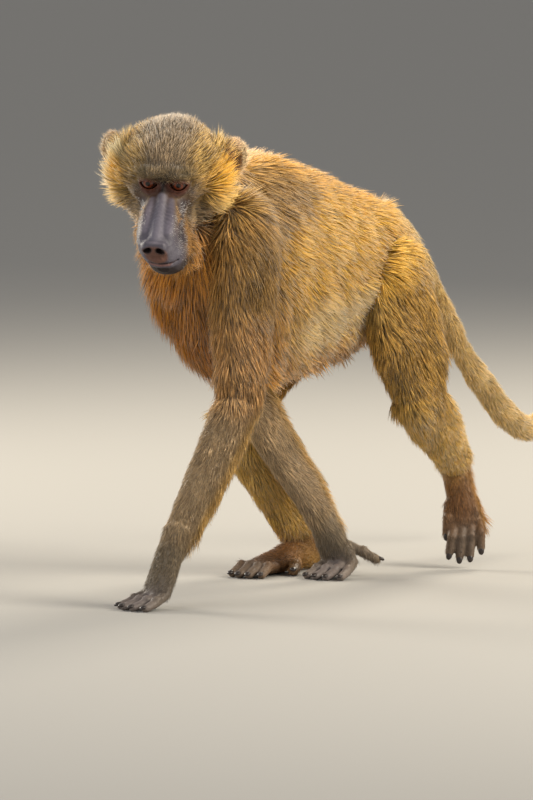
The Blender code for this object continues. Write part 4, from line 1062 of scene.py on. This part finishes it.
def ripple(points, scale, seed):
    """Smooth noise from -1 to 1, from a few crossed waves."""
    draw = np.random.default_rng(seed)
    value = np.zeros(len(points))
    for _ in range(7):
        way = draw.normal(size=3)
        way *= draw.uniform(0.7, 1.6) / (np.linalg.norm(way) * scale)
        value += np.sin(points @ way * 2 * math.pi + draw.uniform(0, 6.28))
    return np.clip(value / 3.0, -1, 1)


def paint_points(mesh, colours):
    layer = mesh.attributes.new("tone", "FLOAT_COLOR", "POINT")
    data = np.ones((len(mesh.vertices), 4), np.float32)
    data[:, :3] = colours
    layer.data.foreach_set("color", data.ravel())


def arrays_of(mesh):
    """Points, triangle corners, and point normals of a mesh."""
    mesh.calc_loop_triangles()
    points, normals = (read(mesh.vertices, key).astype(float) for key in ("co", "normal"))
    return points, read(mesh.loop_triangles, "vertices", np.int32), normals


def unit(rows):
    return rows / (np.linalg.norm(rows, axis=1)[:, None] + TINY)


def strew(points, faces, normals, count):
    """Roots spread over the skin by the coat's density: place, normal."""
    corner = points[faces]
    cross = np.cross(corner[:, 1] - corner[:, 0], corner[:, 2] - corner[:, 0])
    area = np.linalg.norm(cross, axis=1) / 2
    _, shape, _ = coat_at(corner.mean(axis=1))
    share = area * shape[:, 2]
    share /= share.sum()
    picked = CHANCE.choice(len(faces), count, p=share)
    u = np.sqrt(CHANCE.random(count))
    v = CHANCE.random(count)
    mix = np.stack([1 - u, u * (1 - v), u * v], axis=1)
    place = (points[faces[picked]] * mix[:, :, None]).sum(axis=1)
    return place, unit((normals[faces[picked]] * mix[:, :, None]).sum(axis=1))


# A tuft: how deep its root sits, its thickness as a share of its width, how its colour runs
# from root to tip at the bend, and the step of its patch on the unwrap
ROOT_DEEP = 0.0006
THICK = 0.30
TIP_SHARE = 0.55
PATCH_STEP = 0.0014
PATCH_SPOTS = ((-1, 0), (0, 0), (1, 0), (-1, 1), (0, 1), (1, 1))
TIP_SPOT = (0, 2)
# Rings of long tufts, which bend over, and of short ones, plain spikes: place, width
LONG_RINGS = ((0.0, 1.0), (0.45, 0.85))
SHORT_RINGS = ((0.0, 1.0),)


def tuft_ring(place, normal, along, length, width, lift, t, shrink):
    """Three corners of each tuft at one place along it."""
    side = unit(np.cross(normal, along))
    rise = lift * length * (t * 1.5 - 0.5 * t * t) - ROOT_DEEP * (t == 0)
    middle = place + along * (length * t)[:, None] + normal * rise[:, None]
    wide = side * (width * 0.5 * shrink)[:, None]
    thick = normal * (width * THICK * shrink)[:, None]
    return [middle + wide - thick * 0.5, middle + thick, middle - wide - thick * 0.5]


def tuft_faces(levels):
    """Corners of one tuft's triangles: its base, its sides between rings, and its point."""
    tip = 3 * levels
    pattern = [(2, 1, 0)]
    for i in range(3):
        j = (i + 1) % 3
        if levels == 2:
            pattern += [(i, j, 3 + j), (i, 3 + j, 3 + i)]
        pattern.append((tip - 3 + i, tip - 3 + j, tip))
    return np.array(pattern)


def tuft_mesh(name, tufts, long, chosen):
    """The chosen tufts as one mesh. Each array of grow_coat's list has a row a tuft."""
    points = []
    faces = []
    tones = []
    spots = []
    start = 0
    for is_long, levels in ((True, LONG_RINGS), (False, SHORT_RINGS)):
        some = chosen[long[chosen] == is_long]
        *form, root_tone, tip_tone, patch = (rows[some] for rows in tufts)
        place, normal, along, length, _, lift = form
        rings = [corner for t, shrink in levels for corner in tuft_ring(*form, t, shrink)]
        tip = place + along * length[:, None] + normal * (lift * length)[:, None]
        each = len(rings) + 1
        points.append(np.stack(rings + [tip], axis=1).reshape(-1, 3))
        base = start + np.arange(len(place))[:, None, None] * each
        faces.append((base + tuft_faces(len(levels))[None]).reshape(-1, 3))
        shade = np.repeat(root_tone[:, None], each, axis=1)
        shade[:, 3:6] = (root_tone * (1 - TIP_SHARE) + tip_tone * TIP_SHARE)[:, None]
        shade[:, -1] = tip_tone
        tones.append(shade.reshape(-1, 3))
        offset = np.array(PATCH_SPOTS[: each - 1] + (TIP_SPOT,)) * PATCH_STEP
        spots.append((patch[:, None] + offset[None]).reshape(-1, 2))
        start += len(place) * each
    points, faces, tones, spots = (np.concatenate(parts) for parts in (points, faces, tones, spots))
    points[:, 2] = np.maximum(points[:, 2], FLOOR_GAP - SHIFT.z)
    mesh = bpy.data.meshes.new(name)
    mesh.vertices.add(len(points))
    mesh.vertices.foreach_set("co", points.astype(np.float32).ravel())
    mesh.loops.add(len(faces) * 3)
    mesh.loops.foreach_set("vertex_index", faces.astype(np.int32).ravel())
    mesh.polygons.add(len(faces))
    mesh.polygons.foreach_set("loop_start", np.arange(0, len(faces) * 3, 3, dtype=np.int32))
    smooth_faces(mesh)
    mesh.update(calc_edges=True)
    paint_points(mesh, tones)
    layer = mesh.uv_layers.new(name="OFBake")
    layer.data.foreach_set("uv", spots[faces.ravel()].astype(np.float32).ravel())
    thing = bpy.data.objects.new(name, mesh)
    bpy.context.scene.collection.objects.link(thing)
    return thing


# Regions of the coat: start and end of the axis that each is unwrapped round, and its reach
LIMB_REACH = 0.030
REGIONS = {
    "coat_head": (head_point((0, 0.03, -0.01)), head_point((0, -0.05, -0.01)), 0.062),
    "coat_front": ((0, -0.19, 0.33), (0, -0.075, 0.33), 0.075),
    "coat_middle": ((0, -0.07, 0.32), (0, 0.045, 0.32), 0.085),
    "coat_rear": ((0, 0.05, 0.32), (0, 0.20, 0.32), 0.075),
    "coat_arm_left": (L_SHOULDER, L_ELBOW, LIMB_REACH),
    "coat_forearm_left": (L_ELBOW, L_FINGERS, LIMB_REACH),
    "coat_arm_right": (R_SHOULDER, R_ELBOW, LIMB_REACH),
    "coat_forearm_right": (R_ELBOW, R_KNUCKLE, LIMB_REACH),
    "coat_thigh_left": (L_THIGH[0][0], L_KNEE, LIMB_REACH),
    "coat_shank_left": (L_KNEE, L_BALL, LIMB_REACH),
    "coat_thigh_right": (R_THIGH[0][0], R_KNEE, LIMB_REACH),
    "coat_shank_right": (R_KNEE, R_BALL, LIMB_REACH),
    "coat_tail": ((0, 0.225, 0.32), (0, 0.46, 0.13), LIMB_REACH),
}
UNWRAP_EDGE = 0.01
UNWRAP_SIZE = 0.97


def near_region(points):
    """The number of each point's region, and its place on that region's unwrap."""
    best = np.full(len(points), np.inf)
    label = np.zeros(len(points), int)
    spot = np.zeros((len(points), 2))
    for k, (a, b, reach) in enumerate(REGIONS.values()):
        a, b = (np.array(Vector(p)) for p in (a, b))
        line = b - a
        t = (points - a) @ line / (line @ line)
        away = np.linalg.norm(points - a - np.clip(t, 0, 1)[:, None] * line, axis=1) / reach
        way = line / np.linalg.norm(line)
        first = np.cross(way, (0.3, 0.2, 1.0))
        first /= np.linalg.norm(first)
        second = np.cross(way, first)
        flat = points - a - t[:, None] * line
        angle = np.arctan2(flat @ second, flat @ first) / (2 * math.pi) + 0.5
        better = away < best
        best[better] = away[better]
        label[better] = k
        spot[better, 0] = UNWRAP_EDGE + UNWRAP_SIZE * angle[better]
        spot[better, 1] = UNWRAP_EDGE + UNWRAP_SIZE * np.clip((t[better] + 0.35) / 1.7, 0, 1)
    return label, spot


# The coat's variety: shares of dark and of bright tufts, and how dark and bright they are
DARK_SHARE = 0.26
DARK = 0.44
BRIGHT_SHARE = 0.32
BRIGHT = 1.45
SHADES = (0.26, 2.1)
ROOT_SHADE = 0.46
TIP_SHADE = 1.50
BRIGHTEST = 0.95
# How lies vary in waves and by the tuft, ranges of length and lift, and a tuft's width
WAVE = 0.20
FRIZZ = 0.12
LENGTHS = (0.75, 1.2)
LIFTS = (0.6, 1.35)
SLENDER = 0.062
WIDTHS = (0.0006, 0.0014)
# Lowest hair, the edge of the bare face, hair's length there, and how far and how much it grows
LOWEST = 0.004
BARE_EDGE = -0.0005
SHORTEST = 0.0022
GROWTH = (0.014, 0.03)
# Stubble on the muzzle's sides: its least distance aside, its front, its depth in the bare face
# and its top, then its share of the tufts and its lift
STUBBLE_ZONE = (0.0125, -0.100, -0.016, -0.016)
STUBBLE_SHARE = 0.55
STUBBLE_LIFT = 0.55


def rooted(skin):
    """Tufts on the skin, off the floor and the bare face: place, normal, colour, length, lift, lie."""
    place, normal = strew(*arrays_of(skin.data), TUFTS)
    colour, shape, lie = coat_at(place)
    length, lift, _ = shape.T
    local = in_head(place)
    face = unskewed(local.T)
    bare = bare_field(face)
    near_ear = oval([np.abs(local[:, 0]), local[:, 1], local[:, 2]], EAR_HOLLOW, (0.0110, 0.0088, 0.0155))
    aside, front, deep, top = STUBBLE_ZONE
    side_skin = (face[0] > aside) & (face[1] > front) & (face[2] < top) & (bare > deep) & (bare <= BARE_EDGE)
    stubble = side_skin & (CHANCE.random(len(place)) < STUBBLE_SHARE)
    keep = (place[:, 2] > LOWEST) & ((bare > BARE_EDGE) | stubble) & (near_ear > 0)
    colour[stubble] = tone(*STUBBLE_TONE)
    length = np.minimum(length, SHORTEST + np.clip(bare / GROWTH[0], 0, 1) * GROWTH[1])
    lift = np.where(stubble, STUBBLE_LIFT, lift)
    return [rows[keep] for rows in (place, normal, colour, length, lift, lie)]


def grow_coat(skin):
    """Every tuft, in meshes by region."""
    place, normal, colour, length, lift, lie = rooted(skin)
    count = len(place)
    lie += WAVE * np.stack([ripple(place, 0.05, seed) for seed in (1, 2, 3)], axis=1)
    lie += FRIZZ * CHANCE.normal(size=(count, 3))
    along = unit(lie - normal * (lie * normal).sum(axis=1)[:, None])
    length = length * CHANCE.uniform(*LENGTHS, count) * (1 + 0.15 * ripple(place, 0.03, 4))
    lift = lift * CHANCE.uniform(*LIFTS, count) * (1 + 0.3 * ripple(place, 0.035, 5))
    width = np.clip(length * SLENDER, *WIDTHS) * CHANCE.uniform(0.8, 1.25, count)
    shade = 1 + 0.14 * ripple(place, 0.045, 6) + 0.16 * CHANCE.normal(size=count)
    kind = CHANCE.random(count)
    shade = shade * np.where(kind < DARK_SHARE, DARK, np.where(kind > 1 - BRIGHT_SHARE, BRIGHT, 1.0))
    shade = np.clip(shade, *SHADES)[:, None]
    root_tone = colour * ROOT_SHADE * shade
    tip_tone = colour * TIP_SHADE * shade
    tip_tone /= np.maximum(tip_tone.max(axis=1, keepdims=True) / BRIGHTEST, 1)
    label, spot = near_region(place)
    tufts = (place, normal, along, length, width, lift, root_tone, tip_tone, spot)
    long = length > LONG
    faces = np.where(long, LONG_FACES, SHORT_FACES)
    made = []
    for k, name in enumerate(REGIONS):
        index = np.nonzero(label == k)[0]
        if len(index) < FEWEST_TUFTS:
            continue
        parts = math.ceil(faces[index].sum() / PIECE_FACES)
        for part in range(parts):
            title = name if parts == 1 else f"{name}_{part + 1}"
            made.append(tuft_mesh(title, tufts, long, index[part::parts]))
    return made


# Materials


def wire(mat, node, inputs):
    """Sets a node's inputs, or links those given as another node's output."""
    for key, value in inputs.items():
        if isinstance(value, bpy.types.NodeSocket):
            mat.node_tree.links.new(value, node.inputs[key])
        else:
            node.inputs[key].default_value = value


def add_node(mat, kind, inputs):
    node = mat.node_tree.nodes.new(kind)
    wire(mat, node, inputs)
    return node.outputs


def material(name, looks):
    mat = bpy.data.materials.new(name)
    mat.use_nodes = True
    wire(mat, mat.node_tree.nodes["Principled BSDF"], looks)
    return mat


def painted_material(name, grain, low, high, looks):
    """A material of the painted tone, varied a little by noise of this grain."""
    mat = material(name, looks)
    where = add_node(mat, "ShaderNodeTexCoord", {})["Object"]
    noise = add_node(mat, "ShaderNodeTexNoise", {"Scale": grain, "Detail": 4.0, "Vector": where})
    band = add_node(mat, "ShaderNodeMapRange", {"To Min": low, "To Max": high, "Value": noise["Fac"]})
    painted = mat.node_tree.nodes.new("ShaderNodeAttribute")
    painted.attribute_name = "tone"
    mix = mat.node_tree.nodes.new("ShaderNodeVectorMath")
    mix.operation = "SCALE"
    wire(mat, mix, {0: painted.outputs["Color"], "Scale": band["Result"]})
    wire(mat, mat.node_tree.nodes["Principled BSDF"], {"Base Color": mix.outputs["Vector"]})
    return mat


def skin_material():
    """Bare skin, with fine pores and folds as bump."""
    mat = painted_material("bare_skin", 260.0, 0.72, 1.28, {"Roughness": 0.52, "Specular IOR Level": 0.32})
    where = add_node(mat, "ShaderNodeTexCoord", {})["Object"]
    fine = add_node(mat, "ShaderNodeTexNoise", {"Scale": 900.0, "Detail": 5.0, "Vector": where})
    fold = add_node(mat, "ShaderNodeTexVoronoi", {"Scale": 420.0, "Vector": where})
    both = add_node(mat, "ShaderNodeMath", {0: fine["Fac"], 1: fold["Distance"]})
    bump = add_node(mat, "ShaderNodeBump", {"Strength": 0.45, "Distance": 0.0006, "Height": both["Value"]})
    wire(mat, mat.node_tree.nodes["Principled BSDF"], {"Normal": bump["Normal"]})
    return mat


FUR_LOOKS = {"Roughness": 0.50, "Specular IOR Level": 0.35, "Sheen Weight": 0.25, "Sheen Roughness": 0.4}
EYE_LOOKS = {"Roughness": 0.12, "Coat Weight": 0.15, "Coat Roughness": 0.03}

# Eyes: rings about the line of sight, so that the iris has a clean edge; edges in degrees
GAZE_OUT = 0.05
GAZE_UP = 0.13
EYE_RINGS = 56
EYE_SIDES = 48
EYE_GAP = 0.0004
CORNEA_OUT = 0.035
CORNEA_WIDE = 24.0
PUPIL_EDGE = 13
IRIS_EDGE = 33
LIMBUS_EDGE = 38
PUPIL_TONE = (5, 3, 3)
IRIS_TONE = (104, 44, 18)
LIMBUS_TONE = (34, 16, 9)
SCLERA_TONE = (48, 26, 18)


def eye_tone(angle, turn, ring):
    """The colour at an angle from the line of sight, in degrees, and a turn about it."""
    if angle < PUPIL_EDGE:
        return tone(*PUPIL_TONE)
    if angle < IRIS_EDGE:
        glow = 0.55 + 0.55 * math.sin((angle - 12) / 21 * math.pi)
        return tone(*IRIS_TONE) * glow * (1.0 + 0.12 * math.sin(turn * 17 + ring))
    return tone(*(LIMBUS_TONE if angle < LIMBUS_EDGE else SCLERA_TONE))


def eye(side, word, mat):
    """An eyeball with a bulging cornea, painted by rings."""
    gaze = (HEAD_TURN @ Vector((GAZE_OUT * side, -1.0, GAZE_UP))).normalized()
    centre = head_point((EYE_APART * side, -EYE_OUT, EYE_UP)) + SHIFT
    side_way = gaze.cross(UP).normalized()
    up_way = side_way.cross(gaze)
    points = []
    tones = []
    for i in range(EYE_RINGS + 1):
        angle = math.pi * i / EYE_RINGS
        bulge = 1.0 + CORNEA_OUT * math.exp(-(math.degrees(angle) / CORNEA_WIDE) ** 2)
        for j in range(EYE_SIDES):
            turn = 2 * math.pi * j / EYE_SIDES
            flat = side_way * math.cos(turn) + up_way * math.sin(turn)
            way = gaze * math.cos(angle) + flat * math.sin(angle)
            points.append(centre + way * (EYE_RADIUS - EYE_GAP) * bulge)
            tones.append(eye_tone(math.degrees(angle), turn, i))
    faces = []
    for i in range(0, EYE_RINGS * EYE_SIDES, EYE_SIDES):
        for j in range(EYE_SIDES):
            k = (j + 1) % EYE_SIDES
            faces.append((i + j, i + EYE_SIDES + j, i + EYE_SIDES + k, i + k))
    eyeball = from_points("eyeball_" + word, points, faces)
    paint_points(eyeball.data, np.clip(tones, 0, 1))
    smooth_faces(eyeball.data)
    eyeball.data.materials.append(mat)
    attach(eyeball, "root")
    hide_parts("eye_" + word)


def make_nails(mat):
    bm = bmesh.new()
    for place, way, up, radius in NAILS:
        turn = Matrix((way.cross(up).normalized(), way, up)).transposed()
        ball(bm, place + SHIFT, (radius * 0.62, radius * 0.85, radius * 0.36), turn, 2)
    nails = show(bm, "nails")
    above_floor(nails, FLOOR_GAP)
    smooth_faces(nails.data)
    paint_points(nails.data, tone(*NAIL_TONE))
    nails.data.materials.append(mat)
    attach(nails, "root")


# Build; skin under the fur is painted darker, as painted shade in the gaps of the coat
SHADE_UNDER_FUR = 0.45
skin = make_skin()
coat = grow_coat(skin)
skin_points, _, _ = arrays_of(skin.data)
skin_tone, skin_shape, _ = coat_at(skin_points)
furred = np.clip(skin_shape[:, 2], 0, 1)[:, None]
paint_points(skin.data, paint_face(skin_points, skin_tone * (1 - SHADE_UNDER_FUR * furred)))
smooth_faces(skin.data)
move = Matrix.Translation(SHIFT)
skin.data.transform(move)
skin.data.materials.clear()
skin.data.materials.append(skin_material())
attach(skin, "root")
flesh = [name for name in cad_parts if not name.startswith("eye_")]
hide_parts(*flesh)
fur = painted_material("fur", 60.0, 0.85, 1.15, FUR_LOOKS)
for piece in coat:
    piece.data.transform(move)
    piece.data.materials.append(fur)
    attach(piece, "root")
eye_mat = painted_material("eye", 1400.0, 0.75, 1.25, EYE_LOOKS)
for side, word in ((1, "left"), (-1, "right")):
    eye(side, word, eye_mat)
make_nails(painted_material("nail", 500.0, 0.7, 1.3, {"Roughness": 0.35}))

# Floor
bpy.ops.mesh.primitive_plane_add(size=60.0, location=(0, 20.0, 0))
floor = bpy.context.object
floor.name = "floor"
floor.data.materials.append(material("floor", {"Base Color": (0.36, 0.35, 0.33, 1), "Roughness": 0.9}))

# Soft lights: name, place, size, power, colour
LIGHT_AIM = Vector((0, 0, 0.25))
LIGHTS = (
    ("key", (2.1, 0.5, 1.5), 1.1, 76, (1.0, 0.92, 0.78)),
    ("fill", (-0.8, -2.4, 1.2), 2.2, 24, (1.0, 0.97, 0.94)),
    ("back_left", (-2.2, 0.1, 1.0), 0.9, 42, (1.0, 0.92, 0.78)),
    ("rim", (-0.3, 2.2, 1.9), 1.0, 62, (1.0, 0.90, 0.74)),
)
for name, place, size, power, colour in LIGHTS:
    lamp = bpy.data.lights.new(name, "AREA")
    lamp.energy = power
    lamp.size = size
    lamp.color = colour
    light = bpy.data.objects.new(name, lamp)
    light.location = place
    light.rotation_euler = (LIGHT_AIM - Vector(place)).to_track_quat("-Z", "Y").to_euler()
    bpy.context.scene.collection.objects.link(light)
world = bpy.data.worlds.new("studio")
world.use_nodes = True
world.node_tree.nodes["Background"].inputs["Color"].default_value = (0.84, 0.83, 0.82, 1)
world.node_tree.nodes["Background"].inputs["Strength"].default_value = 0.50
bpy.context.scene.world = world
bpy.context.scene.view_settings.view_transform = "Standard"

# Camera of the photograph: far off, to the animal's left and a little above
VIEW_TURN = math.radians(35.0)
VIEW_RISE = math.radians(5.0)
VIEW_FAR = 10.0
VIEW_AIM = Vector((0.0, -0.0235, 0.187))
SENSOR = 24.0
IMAGE_HIGH = 800
PIXELS_PER_METRE = 1000.0
camera = bpy.data.objects.new("camera", bpy.data.cameras.new("camera"))
bpy.context.scene.collection.objects.link(camera)
back = Vector((
    math.sin(VIEW_TURN) * math.cos(VIEW_RISE),
    -math.cos(VIEW_TURN) * math.cos(VIEW_RISE),
    math.sin(VIEW_RISE),
))
camera.location = VIEW_AIM + SHIFT + back * VIEW_FAR
camera.rotation_euler = back.to_track_quat("Z", "Y").to_euler()
camera.data.sensor_fit = "VERTICAL"
camera.data.sensor_height = SENSOR
camera.data.lens = PIXELS_PER_METRE * VIEW_FAR / IMAGE_HIGH * SENSOR
camera.data.clip_end = 60.0
bpy.context.scene.camera = camera
